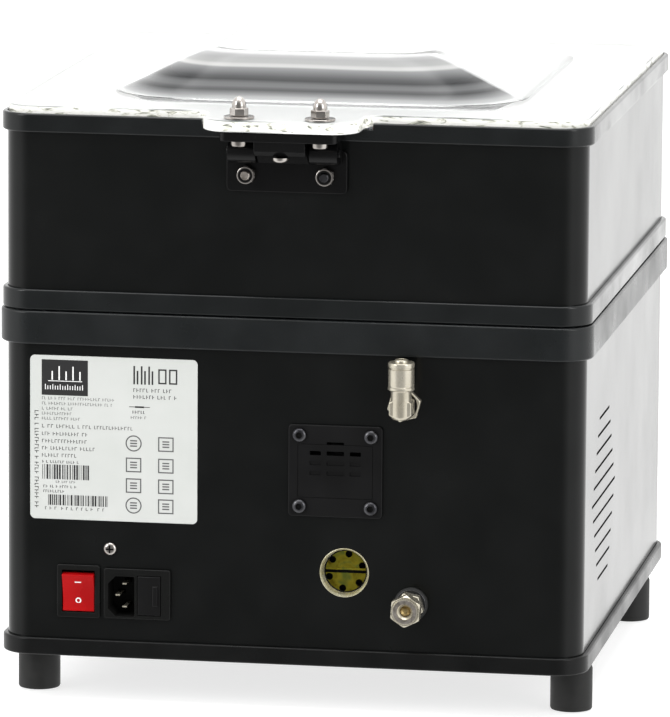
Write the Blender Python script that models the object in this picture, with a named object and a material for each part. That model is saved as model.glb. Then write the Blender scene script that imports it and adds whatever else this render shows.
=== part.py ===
"""Ultrasonic cleaner with a clear vacuum lid. Metres, +Z up, controls face -Y, hinge and sockets face +Y."""

import math

import bmesh
import bpy
from mathutils import Matrix, Vector

MM = 0.001
GAP = 0.3  # clearance left between two pieces that touch, mm

# Casing, mm
HALF_W = 174.0
FRONT = -198.5
REAR = 181.5
WALL = 2.0
CORNER = 17.0
TRIM_OUT = 3.0
WIDE_TRIM_OUT = 4.0

# Levels, mm
FOOT_TOP = 26.6
TRAY = (26.9, 37.4)
LOWER_TRIM = (215.0, 235.0)
UPPER_TRIM = (235.4, 247.8)
TOP_TRIM = (341.5, 352.7)
DECK = (344.3, 345.5)
LID = (349.9, 356.9)
DOME_TOP = 383.4
TANK_FLOOR = 192.0

# Tank mouth and dome, mm
TANK_HALF_X = 134.0
TANK_Y = (-157.5, 140.5)
DOME_HALF_X = 128.0
DOME_Y = (-166.0, 131.5)
DOME_SLOPE_X = 62.0
DOME_SLOPE_Y = 34.0

# Rear fittings, mm: (x, z)
HINGE_X = 2.5
HINGE_AXIS = (195.5, 336.0)
STUD_Z = 321.0
STUD_X = 23.5
BOLT_X = 24.0
BOLT_Y = 210.5
FAN = (-27.2, 144.8)
FAN_SCREW = 21.4
PORT = (-32.7, 83.7)
ELBOW = (-68.3, 186.3)
ELBOW_Y = 196.2
DRAIN = (-73.0, 66.5)
SWITCH = (127.7, 66.4)
INLET = (92.0, 66.0)
SOCKET = (101.5, 64.5)
EARTH = (108.6, 92.7)
LABEL = (106.6, 158.9)
ROCKER_TILT = 8.0

# Front controls, mm
PANEL_FACE = FRONT - 2.8
TIMER = (-70.0, 112.0)
HEATER = (0.0, 112.0)
DEGAS = (70.0, 112.0)
WINDOW = (0.0, 165.0)

# Feet, mm: (left, right) and (front, rear)
FOOT_X = (-164.5, 159.0)
FOOT_Y = (-122.5, 147.5)

# Side louvres, mm: from the top row down
LOUVRE_Y = 84.0
LOUVRE_TOP = 168.15
LOUVRE_PITCH = 9.75
LOUVRE_LENGTHS = (44, 57, 68, 79, 90, 104, 93, 81, 71, 60, 46)

COLOURS = {  # base colour, metallic, roughness
    "painted_steel": ((0.02, 0.021, 0.023), 0.0, 0.25),
    "trim_plastic": ((0.035, 0.042, 0.046), 0.0, 0.5),
    "black_plastic": ((0.02, 0.02, 0.02), 0.0, 0.4),
    "rubber": ((0.03, 0.03, 0.03), 0.0, 0.8),
    "silicone": ((0.55, 0.56, 0.56), 0.0, 0.6),
    "stainless": ((0.62, 0.62, 0.61), 1.0, 0.25),
    "nickel": ((0.7, 0.67, 0.6), 1.0, 0.2),
    "zinc": ((0.72, 0.62, 0.33), 1.0, 0.35),
    "acrylic": ((0.93, 0.95, 0.95), 0.0, 0.05),
    "label": ((0.85, 0.85, 0.84), 0.0, 0.5),
    "red": ((0.75, 0.03, 0.02), 0.0, 0.3),
    "dark_lens": ((0.01, 0.012, 0.02), 0.0, 0.1),
    "aluminium": ((0.6, 0.6, 0.6), 1.0, 0.4),
    "board": ((0.03, 0.16, 0.07), 0.0, 0.5),
    "heater": ((0.6, 0.2, 0.05), 0.0, 0.6),
    "motor": ((0.1, 0.11, 0.12), 0.0, 0.45),
}


def clear_scene():
    for obj in list(bpy.data.objects):
        bpy.data.objects.remove(obj, do_unlink=True)


def material(key):
    if key in bpy.data.materials:
        return bpy.data.materials[key]
    colour, metallic, roughness = COLOURS[key]
    made = bpy.data.materials.new(key)
    made.use_nodes = True
    shader = made.node_tree.nodes["Principled BSDF"]
    shader.inputs["Base Color"].default_value = (*colour, 1.0)
    shader.inputs["Metallic"].default_value = metallic
    shader.inputs["Roughness"].default_value = roughness
    return made


# ---------------------------------------------------------------- plan outlines


def arc(cx, cy, radius, start, end, steps):
    """Points on an arc, in degrees, both ends included."""
    points = []
    for i in range(steps + 1):
        angle = math.radians(start + (end - start) * i / steps)
        points.append((cx + radius * math.cos(angle), cy + radius * math.sin(angle)))
    return points


def rounded(x0, x1, y0, y1, radius, steps=6):
    """Rectangle with rounded corners, anticlockwise."""
    r = radius
    return (
        arc(x1 - r, y0 + r, r, -90, 0, steps)
        + arc(x1 - r, y1 - r, r, 0, 90, steps)
        + arc(x0 + r, y1 - r, r, 90, 180, steps)
        + arc(x0 + r, y0 + r, r, 180, 270, steps)
    )


def body_outline(outset, steps=5):
    """The casing outline moved outwards by outset."""
    return rounded(
        -HALF_W - outset,
        HALF_W + outset,
        FRONT - outset,
        REAR + outset,
        CORNER + outset,
        steps,
    )


def inset(points, distance):
    """A closed outline moved inwards, with mitred corners."""
    moved = []
    count = len(points)
    for i in range(count):
        before, here, after = (Vector(points[(i + k) % count]) for k in (-1, 0, 1))
        first = (here - before).normalized()
        second = (after - here).normalized()
        normal = Vector((-first.y - second.y, first.x + second.x)).normalized()
        reach = distance / max(0.3, normal.dot(Vector((-first.y, first.x))))
        moved.append((here.x + normal.x * reach, here.y + normal.y * reach))
    return moved


def hexagon(flats, turn=0.0):
    """Hexagon outline from its width across flats."""
    radius = flats / math.sqrt(3)
    return [
        (radius * math.cos(math.radians(turn + 60 * i)), radius * math.sin(math.radians(turn + 60 * i)))
        for i in range(6)
    ]


# ---------------------------------------------------------------- meshes


def along(axis, a, b, t):
    """Point from two plan coordinates and a distance t along the axis."""
    return {"X": (t, a, b), "Y": (a, t, b), "Z": (a, b, t)}[axis]


def loft(loops, ring=False):
    """Vertices and faces through loops with one point count, capped unless they close into a ring."""
    count = len(loops[0])
    verts = [point for loop in loops for point in loop]
    faces = []
    for row in range(len(loops) if ring else len(loops) - 1):
        a = row * count
        b = (row + 1) % len(loops) * count
        for i in range(count):
            j = (i + 1) % count
            faces.append((a + i, a + j, b + j, b + i))
    if not ring:
        faces.append(tuple(range(count)))
        faces.append(tuple(range(len(verts) - count, len(verts))))
    return verts, faces


def merge(*shapes):
    """Several separate shapes in one list of vertices and faces."""
    verts, faces = [], []
    for more_verts, more_faces in shapes:
        start = len(verts)
        verts += more_verts
        faces += [tuple(i + start for i in face) for face in more_faces]
    return verts, faces


def stack(levels):
    """Solid from (outline, z) levels."""
    return loft([[(x, y, z) for x, y in outline] for outline, z in levels])


def ring_stack(levels):
    """Ring whose section runs through (outline, z) levels and closes on itself."""
    return loft([[(x, y, z) for x, y in outline] for outline, z in levels], ring=True)


def prism(outline, axis, start, end, chamfer=0.0):
    """Outline pushed along an axis, with chamfered ends if asked."""
    if chamfer:
        small = inset(outline, chamfer)
        levels = [
            (small, start),
            (outline, start + chamfer),
            (outline, end - chamfer),
            (small, end),
        ]
    else:
        levels = [(outline, start), (outline, end)]
    return loft([[along(axis, a, b, t) for a, b in points] for points, t in levels])


def box(x0, x1, y0, y1, z0, z1, chamfer=0.0):
    return prism([(x0, y0), (x1, y0), (x1, y1), (x0, y1)], "Z", z0, z1, chamfer)


def turned(centre, axis, profile, sides=20, bored=False):
    """Profile of (radius, distance) pairs turned about an axis; bored closes the profile into a tube."""
    a, b = centre
    loops = [
        [along(axis, a + x, b + y, t) for x, y in arc(0, 0, r, 0, 360 * (sides - 1) / sides, sides - 1)]
        for r, t in profile
    ]
    return loft(loops, ring=bored)


def rod(centre, axis, radius, start, end, sides=20):
    return turned(centre, axis, [(radius, start), (radius, end)], sides)


def make(name, shape, key, origin=(0.0, 0.0, 0.0)):
    """Object from a shape in millimetres, its origin on the given point."""
    verts, faces = shape
    mesh = bpy.data.meshes.new(name)
    base = Vector(origin)
    mesh.from_pydata([(Vector(v) - base) * MM for v in verts], [], faces)
    tidy = bmesh.new()
    tidy.from_mesh(mesh)
    bmesh.ops.recalc_face_normals(tidy, faces=tidy.faces[:])
    tidy.to_mesh(mesh)
    tidy.free()
    obj = bpy.data.objects.new(name, mesh)
    obj.location = base * MM
    bpy.context.scene.collection.objects.link(obj)
    if key:
        mesh.materials.append(material(key))
    return obj


def combine(obj, operation, *shapes):
    """Join shapes to an object or cut them from it, and keep the result as its mesh."""
    helpers = []
    for shape in shapes:
        helper = make("helper", shape, None)
        helper.hide_render = True
        helper.display_type = "WIRE"
        modifier = obj.modifiers.new("combine", "BOOLEAN")
        modifier.operation = operation
        modifier.solver = "EXACT"
        modifier.object = helper
        helpers.append(helper)
    bpy.context.view_layer.update()
    graph = bpy.context.evaluated_depsgraph_get()
    result = bpy.data.meshes.new_from_object(obj.evaluated_get(graph))
    obj.modifiers.clear()
    old = obj.data
    obj.data = result
    bpy.data.meshes.remove(old)
    result.name = obj.name
    for helper in helpers:
        bpy.data.objects.remove(helper, do_unlink=True)
    return obj


def cut(obj, *shapes):
    return combine(obj, "DIFFERENCE", *shapes)


def join(obj, *shapes):
    return combine(obj, "UNION", *shapes)


def smooth_rounds():
    """Smooth shading with sharp edges kept, so turned faces look round."""
    for obj in bpy.context.scene.collection.objects:
        mesh = obj.data
        mesh.polygons.foreach_set("use_smooth", [True] * len(mesh.polygons))
        mesh.set_sharp_from_angle(angle=math.radians(30))


# ---------------------------------------------------------------- casing


def base_and_feet():
    low, high = TRAY
    outer = body_outline(TRIM_OUT)
    inner = body_outline(GAP)
    levels = [
        (body_outline(TRIM_OUT - 1.2), low),
        (outer, low + 1.2),
        (outer, high - 1.0),
        (body_outline(TRIM_OUT - 1.0), high),
        (inner, high),
        (inner, low + 3.0),
    ]
    make("base_tray", stack(levels), "trim_plastic")
    profile = [(11.7, 0), (12.6, 1.0), (12.6, FOOT_TOP - 1.5), (11.6, FOOT_TOP)]
    for side, x in (("left", FOOT_X[0]), ("right", FOOT_X[1])):
        for end, y in (("front", FOOT_Y[0]), ("rear", FOOT_Y[1])):
            make(f"foot_{end}_{side}", turned((x, y), "Z", profile, 24), "rubber")


def casing_tube(name, low, high):
    outer = body_outline(0.0)
    inner = body_outline(-WALL)
    levels = [(outer, low), (outer, high), (inner, high), (inner, low)]
    return make(name, ring_stack(levels), "painted_steel")


def louvre_cutters():
    shapes = []
    for row, length in enumerate(LOUVRE_LENGTHS):
        z = LOUVRE_TOP - LOUVRE_PITCH * row
        y0, y1 = LOUVRE_Y - length / 2, LOUVRE_Y + length / 2
        shapes.append(box(-HALF_W - 4, -HALF_W + 6, y0, y1, z - 0.85, z + 0.85))
    return merge(*shapes)


def rear_cutters():
    y0, y1 = REAR - 6, REAR + 4
    sx, sz = SWITCH
    shapes = [
        rod(FAN, "Y", 22.5, y0, y1, 28),
        rod(PORT, "Y", 15.0, y0, y1, 32),
        rod(ELBOW, "Y", 6.1, y0, y1, 16),
        rod(DRAIN, "Y", 8.5, y0, y1, 20),
        rod(EARTH, "Y", 2.6, y0, y1, 10),
        box(75.2, 112.0, y0, y1, 51.3, 79.0),
        box(sx - 11.6, sx + 11.6, y0, y1, sz - 14.1, sz + 14.1),
    ]
    for x in (-FAN_SCREW, FAN_SCREW):
        for z in (-FAN_SCREW, FAN_SCREW):
            shapes.append(rod((FAN[0] + x, FAN[1] + z), "Y", 2.6, y0, y1, 10))
    return merge(*shapes)


def front_cutters(y0, y1):
    wx, wz = WINDOW
    return merge(
        rod(TIMER, "Y", 4.2, y0, y1, 14),
        rod(HEATER, "Y", 4.2, y0, y1, 14),
        rod(DEGAS, "Y", 6.1, y0, y1, 16),
        box(wx - 38.3, wx + 38.3, y0, y1, wz - 13.3, wz + 13.3),
    )


def casings_and_trims():
    lower = casing_tube("lower_casing", TRAY[0] + 3.3, LOWER_TRIM[1] - 5.0)
    cut(lower, louvre_cutters(), rear_cutters(), front_cutters(FRONT - 4, FRONT + 6))
    upper = casing_tube("upper_casing", UPPER_TRIM[0] + 4.4, TOP_TRIM[0] + 1.1)
    studs = [rod((HINGE_X + x, STUD_Z), "Y", 3.3, REAR - 6, REAR + 4, 12) for x in (-STUD_X, STUD_X)]
    cut(upper, merge(*studs))

    low, high = LOWER_TRIM
    rebate, lip = body_outline(GAP), body_outline(-6.0)
    outer, small = body_outline(WIDE_TRIM_OUT), body_outline(WIDE_TRIM_OUT - 1.2)
    levels = [(small, low), (outer, low + 1.2), (outer, high - 1.2), (small, high)]
    levels += [(lip, high), (lip, high - 4.7), (rebate, high - 4.7), (rebate, low)]
    make("lower_trim", ring_stack(levels), "trim_plastic")

    low, high = UPPER_TRIM
    outer, small = body_outline(TRIM_OUT), body_outline(TRIM_OUT - 1.2)
    levels = [(small, low), (outer, low + 1.2), (outer, high - 1.2), (small, high)]
    levels += [(rebate, high), (rebate, low + 4.1), (lip, low + 4.1), (lip, low)]
    make("upper_trim", ring_stack(levels), "trim_plastic")

    low, high = TOP_TRIM
    levels = [(small, low), (outer, low + 1.0), (outer, high - 1.0), (body_outline(TRIM_OUT - 1.0), high)]
    levels += [(rebate, high), (rebate, DECK[0] - GAP), (lip, DECK[0] - GAP)]
    levels += [(lip, low + 1.4), (rebate, low + 1.4), (rebate, low)]
    top = make("top_trim", ring_stack(levels), "trim_plastic")
    cut(top, box(HINGE_X - 51, HINGE_X + 51, REAR - 1, REAR + 8, LID[0] - 1.0, high + 4))


# ---------------------------------------------------------------- tank and lid


def tank_outline(outset, radius=25.0):
    return rounded(
        -TANK_HALF_X - outset,
        TANK_HALF_X + outset,
        TANK_Y[0] - outset,
        TANK_Y[1] + outset,
        radius + outset,
        5,
    )


def tank_and_deck():
    outer = rounded(
        -HALF_W + 0.1, HALF_W - 0.1, FRONT + 0.1, REAR - 0.1, CORNER - 0.1, 5
    )
    hole = tank_outline(0.0)
    low, high = DECK
    make("top_deck", ring_stack([(outer, low), (outer, high), (hole, high), (hole, low)]), "stainless")

    rim = DECK[0] - GAP
    levels = [
        (tank_outline(-9.0), TANK_FLOOR),
        (tank_outline(-2.0), TANK_FLOOR + 2.2),
        (tank_outline(1.2), TANK_FLOOR + 9.0),
        (tank_outline(1.2), rim - 1.2),
        (tank_outline(9.0), rim - 1.2),
        (tank_outline(9.0), rim),
        (tank_outline(0.0), rim),
        (tank_outline(0.0), TANK_FLOOR + 9.6),
        (tank_outline(-2.6), TANK_FLOOR + 3.6),
        (tank_outline(-9.0), TANK_FLOOR + 1.2),
    ]
    make("tank", stack(levels), "stainless")

    low, high = DECK[1] + GAP, LID[0] - GAP
    levels = [
        (tank_outline(8.0), low),
        (tank_outline(16.0), low),
        (tank_outline(15.4), high - 0.8),
        (tank_outline(14.0), high),
        (tank_outline(10.0), high),
        (tank_outline(8.6), high - 0.8),
    ]
    make("lid_gasket", ring_stack(levels), "silicone")


def lid_outline():
    """Lid plate with the hinge tab on its rear edge, anticlockwise."""
    x, front, rear, r = HALF_W - 0.3, FRONT + 0.3, REAR - 3.3, CORNER - 0.3
    tip, half, tip_r, root_r = 219.5, 46.5, 13.0, 4.0
    left, right = HINGE_X - half, HINGE_X + half
    return (
        arc(x - r, front + r, r, -90, 0, 6)
        + arc(x - r, rear - r, r, 0, 90, 6)
        + arc(right + root_r, rear + root_r, root_r, 270, 180, 3)
        + arc(right - tip_r, tip - tip_r, tip_r, 0, 90, 6)
        + arc(left + tip_r, tip - tip_r, tip_r, 90, 180, 6)
        + arc(left - root_r, rear + root_r, root_r, 0, -90, 3)
        + arc(-x + r, rear - r, r, 90, 180, 6)
        + arc(-x + r, front + r, r, 180, 270, 6)
    )


def dome_loop(share, extra=0.0):
    """Dome outline a share of the way from its foot to its flat top."""
    dx = DOME_SLOPE_X * share + extra
    dy = DOME_SLOPE_Y * share + extra
    radius = 52.0 - 22.0 * share - extra
    return rounded(
        -DOME_HALF_X + dx, DOME_HALF_X - dx, DOME_Y[0] + dy, DOME_Y[1] - dy, radius, 5
    )


def lid():
    low, high = LID
    rise = DOME_TOP - high
    profile = [(0.0, 0.0), (0.07, 0.015), (0.16, 0.08), (0.3, 0.24), (0.7, 0.76)]
    profile += [(0.84, 0.92), (0.93, 0.985), (1.0, 1.0)]
    plate = make("lid", prism(lid_outline(), "Z", low, high, 0.6), "acrylic", (HINGE_X, *HINGE_AXIS))
    dome = [(dome_loop(0.0), high - 3.0)]
    dome += [(dome_loop(s), high + rise * h) for s, h in profile[1:]]
    join(plate, stack(dome))
    hollow = [(dome_loop(profile[2][0], 2.0), low - 2.0)]
    hollow += [(dome_loop(s, 2.0), low + rise * h) for s, h in profile[2:]]
    bolts = [rod((HINGE_X + x, BOLT_Y), "Z", 3.4, low - 2, high + 2, 14) for x in (-BOLT_X, BOLT_X)]
    cut(plate, stack(hollow), merge(*bolts))


# ---------------------------------------------------------------- hinge


def hinge():
    ay, az = HINGE_AXIS
    face = REAR + GAP
    plate = make(
        "hinge_bracket",
        prism(rounded(HINGE_X - 36, HINGE_X + 36, 310.5, 336.0, 3.0, 3), "Y", face, face + 4.0, 0.6),
        "painted_steel",
    )
    ear = [(face + 0.6, 328.2), (ay - 1.0, 329.0)] + arc(ay, az, 7.0, -80, 90, 7)
    ear += [(face + 3.6, 343.0), (face + 3.6, 340.6), (face + 0.6, 340.6)]
    for side in (-1, 1):
        x0, x1 = sorted((HINGE_X + side * 16.0, HINGE_X + side * 32.5))
        join(plate, prism(ear, "X", x0, x1, 0.5))
    bores = [rod((HINGE_X + x, STUD_Z), "Y", 3.3, face - 2, face + 8, 12) for x in (-STUD_X, STUD_X)]
    cut(plate, rod(HINGE_AXIS, "X", 3.3, HINGE_X - 40, HINGE_X + 40, 16), merge(*bores))

    top = LID[0] - GAP
    leaf = make(
        "hinge_leaf",
        prism(rounded(HINGE_X - 35, HINGE_X + 35, 188.0, 217.0, 4.0, 3), "Z", 344.0, top, 0.6),
        "painted_steel",
        (HINGE_X, ay, az),
    )
    knuckle = [(189.2, 346.0)] + arc(ay, az, 6.8, 165, 280, 7)
    knuckle += [(203.0, 334.6), (208.5, 335.0), (211.5, 338.0), (212.5, 346.0)]
    join(leaf, prism(knuckle, "X", HINGE_X - 15.2, HINGE_X + 15.2, 0.5))
    spring_screw = [(3.6, 330.8), (5.0, 332.2), (5.0, 337.0)]
    join(leaf, turned((HINGE_X, 206.3), "Z", spring_screw, 20))
    bolts = [rod((HINGE_X + x, BOLT_Y), "Z", 3.3, 340, 352, 12) for x in (-BOLT_X, BOLT_X)]
    cut(leaf, rod(HINGE_AXIS, "X", 3.3, HINGE_X - 40, HINGE_X + 40, 16), merge(*bolts))
    pin = [(2.2, HINGE_X - 34.0), (3.0, HINGE_X - 33.2), (3.0, HINGE_X + 33.2), (2.2, HINGE_X + 34.0)]
    make("hinge_pin", turned(HINGE_AXIS, "X", pin, 16), "stainless")

    for side, sign in (("left", -1), ("right", 1)):
        centre = (HINGE_X + sign * STUD_X, STUD_Z)
        start = face + 4.3
        flats = [(centre[0] + x, centre[1] + z) for x, z in hexagon(10, 90)]
        shape = prism(flats, "Y", start, start + 5.0, 0.4)
        nut = make(f"hinge_nut_{side}", shape, "stainless")
        join(nut, turned(centre, "Y", [(4.9, start + 2), (4.9, start + 6.2), (4.3, start + 6.8)], 18))
        cut(nut, rod(centre, "Y", 3.2, start - 2, start + 10, 12))
        shank = [(2.9, REAR - WALL - 3.6), (2.9, start + 7.6), (2.4, start + 8.1)]
        bolt = make(f"hinge_bolt_{side}", turned(centre, "Y", shank, 12), "stainless")
        head = [(4.2, REAR - WALL - 3.9), (5.2, REAR - WALL - 3.0), (5.2, REAR - WALL - GAP)]
        join(bolt, turned(centre, "Y", head, 12))

        centre = (HINGE_X + sign * BOLT_X, BOLT_Y)
        origin = (HINGE_X, ay, az)
        shank = [(2.9, 342.0), (2.9, 365.2), (2.3, 366.0)]
        bolt = make(f"lid_bolt_{side}", turned(centre, "Z", shank, 12), "stainless", origin)
        head = [(3.4, 340.4), (4.6, 340.9), (5.0, 342.0), (5.0, 343.7)]
        join(bolt, turned(centre, "Z", head, 20))
        washer = [(9.0, 357.2), (9.0, 358.5), (3.4, 358.5), (3.4, 357.2)]
        make(f"lid_washer_{side}", turned(centre, "Z", washer, 24, True), "stainless", origin)
        shape = prism([(centre[0] + x, centre[1] + y) for x, y in hexagon(9.6, 15)], "Z", 358.8, 363.4, 0.4)
        cap = make(f"cap_nut_{side}", shape, "stainless", origin)
        dome = [(4.3, 361.0), (4.3, 364.8), (4.0, 366.8), (3.1, 368.6), (1.9, 369.8), (0.8, 370.2)]
        join(cap, turned(centre, "Z", dome, 18))
        cut(cap, rod(centre, "Z", 3.2, 357.0, 366.4, 12))


# ---------------------------------------------------------------- rear fittings


def slotted_screw(name, centre, face, radius, height, shank, reach, drive):
    """Pan-head screw facing +Y with a cross or a hexagon drive cut in its head."""
    x, z = centre
    head = [
        (radius, face),
        (radius, face + 0.45 * height),
        (0.8 * radius, face + 0.85 * height),
        (0.45 * radius, face + height),
    ]
    screw = make(name, turned(centre, "Y", head, 16), "stainless")
    join(screw, rod(centre, "Y", shank, reach, face + 0.4, 8))
    top, deep = face + height + 1, face + height - 1.3
    if drive == "cross":
        cut(
            screw,
            box(x - 2.1, x + 2.1, deep, top, z - 0.4, z + 0.4),
            box(x - 0.4, x + 0.4, deep, top, z - 2.1, z + 2.1),
        )
    else:
        cut(screw, prism([(x + a, z + b) for a, b in hexagon(3.2, 10)], "Y", deep, top))
    return screw


def vent_and_fan():
    fx, fz = FAN
    face = REAR + GAP
    outline = rounded(fx - 28.2, fx + 28.2, fz - 27.6, fz + 27.6, 2.5, 3)
    cover = make("vent_cover", prism(outline, "Y", face, face + 2.2, 0.5), "black_plastic")
    slots = [box(fx - 5.2, fx + 5.2, face - 2, face + 5, 160.7, 162.3)]
    for row in range(3):
        z = 155.5 - 6.0 * row
        slots.append(box(fx - 5.2, fx + 5.2, face - 2, face + 5, z - 1.25, z + 1.25))
        for side in (-12.0, 12.0):
            slots.append(box(fx + side - 3.3, fx + side + 3.3, face - 2, face + 5, z - 1.25, z + 1.25))
    corners = [(fx + x, fz + z) for x in (-FAN_SCREW, FAN_SCREW) for z in (-FAN_SCREW, FAN_SCREW)]
    cut(cover, merge(*slots), merge(*[rod(c, "Y", 2.5, face - 2, face + 5, 10) for c in corners]))
    for number, centre in enumerate(corners, 1):
        slotted_screw(f"vent_screw_{number}", centre, face + 2.5, 4.3, 2.6, 2.0, 168.0, "hexagon")

    back, front = REAR - WALL - GAP - 15.0, REAR - WALL - GAP
    frame = make(
        "fan_frame",
        prism(rounded(fx - 25.2, fx + 25.2, fz - 25.2, fz + 25.2, 3.0, 3), "Y", back, front),
        "black_plastic",
    )
    screw_holes = [rod(c, "Y", 2.4, back - 2, front + 2, 6) for c in corners]
    cut(frame, rod(FAN, "Y", 23.2, back + 2.0, front + 2, 20), merge(*screw_holes))
    gaps = []
    for quarter in range(4):
        start = 90 * quarter + 9
        gaps.append(prism(
            [(fx + a, fz + b) for a, b in arc(0, 0, 23.2, start, start + 72, 5)]
            + [(fx + a, fz + b) for a, b in arc(0, 0, 12.5, start + 66, start + 6, 3)],
            "Y", back - 2, back + 4,
        ))
    cut(frame, merge(*gaps))

    low, high = back + 2.6, front - 1.2
    hub = turned(FAN, "Y", [(11.5, low), (11.5, high - 1.0), (10.5, high)], 21)
    rotor = make("fan_rotor", hub, "black_plastic", (fx, back, fz))
    blades = []
    for i in range(7):
        turn = Matrix.Rotation(math.radians(360 / 7 * i), 3, "Y")
        pitch = Matrix.Rotation(math.radians(38), 3, "Z")
        verts, faces = box(-4.6, 4.6, -0.7, 0.7, 10.5, 21.6)
        centre = Vector((fx, 0.5 * (low + high), fz))
        blades.append(([tuple(turn @ (pitch @ Vector(v)) + centre) for v in verts], faces))
    join(rotor, merge(*blades))


def inlet():
    ix, iz = INLET
    sx, sz = SOCKET
    face = REAR + GAP
    body = make(
        "inlet_body",
        prism(rounded(ix - 20.2, ix + 20.2, iz - 15.2, iz + 15.2, 1.5, 3), "Y", face, face + 2.4, 0.5),
        "black_plastic",
    )
    join(body, box(75.6, 111.6, 154.0, face + 1.0, 51.7, 78.6))
    left, right, low, high, chamfer = sx - 8.0, sx + 8.0, sz - 12.1, sz + 12.1, 4.6
    recess = [(left, low), (right - chamfer, low), (right, low + chamfer)]
    recess += [(right, high - chamfer), (right - chamfer, high), (left, high)]
    cut(body, prism(recess, "Y", 168.0, face + 8), box(77.4, 91.9, 158.0, face + 8, 53.2, 77.4))
    pins = {"line": (100.2, sz + 7.0), "earth": (104.4, sz), "neutral": (100.2, sz - 7.0)}
    slots = [box(x - 2.3, x + 2.3, 150, 172, z - 1.3, z + 1.3) for x, z in pins.values()]
    cut(body, merge(*slots))
    for name, (x, z) in pins.items():
        blade = [(x - 2.0, z - 1.0), (x + 2.0, z - 1.0), (x + 2.0, z + 1.0), (x - 2.0, z + 1.0)]
        make(f"inlet_pin_{name}", prism(blade, "Y", 150.0, 180.5, 0.4), "nickel")

    shape = box(77.8, 91.5, 161.0, face + 2.8, 53.6, 77.0)
    drawer = make("fuse_drawer", shape, "black_plastic", (84.6, face, 65.3))
    join(drawer, box(79.4, 82.2, face + 2.0, face + 4.0, 59.5, 71.1))
    cut(drawer, box(80.0, 89.5, 164.0, 177.5, 56.5, 80.0))


def switch():
    sx, sz = SWITCH
    face = REAR + GAP
    bezel = make(
        "switch_bezel",
        prism(rounded(sx - 13.0, sx + 13.0, sz - 16.0, sz + 16.0, 1.5, 3), "Y", face, face + 1.8, 0.5),
        "black_plastic",
    )
    join(bezel, box(sx - 11.2, sx + 11.2, 160.0, face + 1.0, sz - 13.8, sz + 13.8))
    cut(bezel, box(sx - 10.0, sx + 10.0, 168.0, face + 8, sz - 12.7, sz + 12.7))
    pivot = (sx, face - 3.5, sz)
    profile = [(-2.6, -9.5), (1.0, -11.4), (6.6, -11.4), (5.6, -6.0), (5.1, 0.0)]
    profile += [(5.6, 6.0), (6.6, 11.4), (1.0, 11.4), (-2.6, 9.5)]
    verts, faces = prism(profile, "X", -9.6, 9.6, 0.4)
    tilt = Matrix.Rotation(math.radians(-ROCKER_TILT), 3, "X")
    make("rocker", ([tuple(tilt @ Vector(v) + Vector(pivot)) for v in verts], faces), "red", pivot)
    slotted_screw("earth_screw", EARTH, face, 4.0, 2.5, 2.0, REAR - 9.0, "cross")


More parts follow.
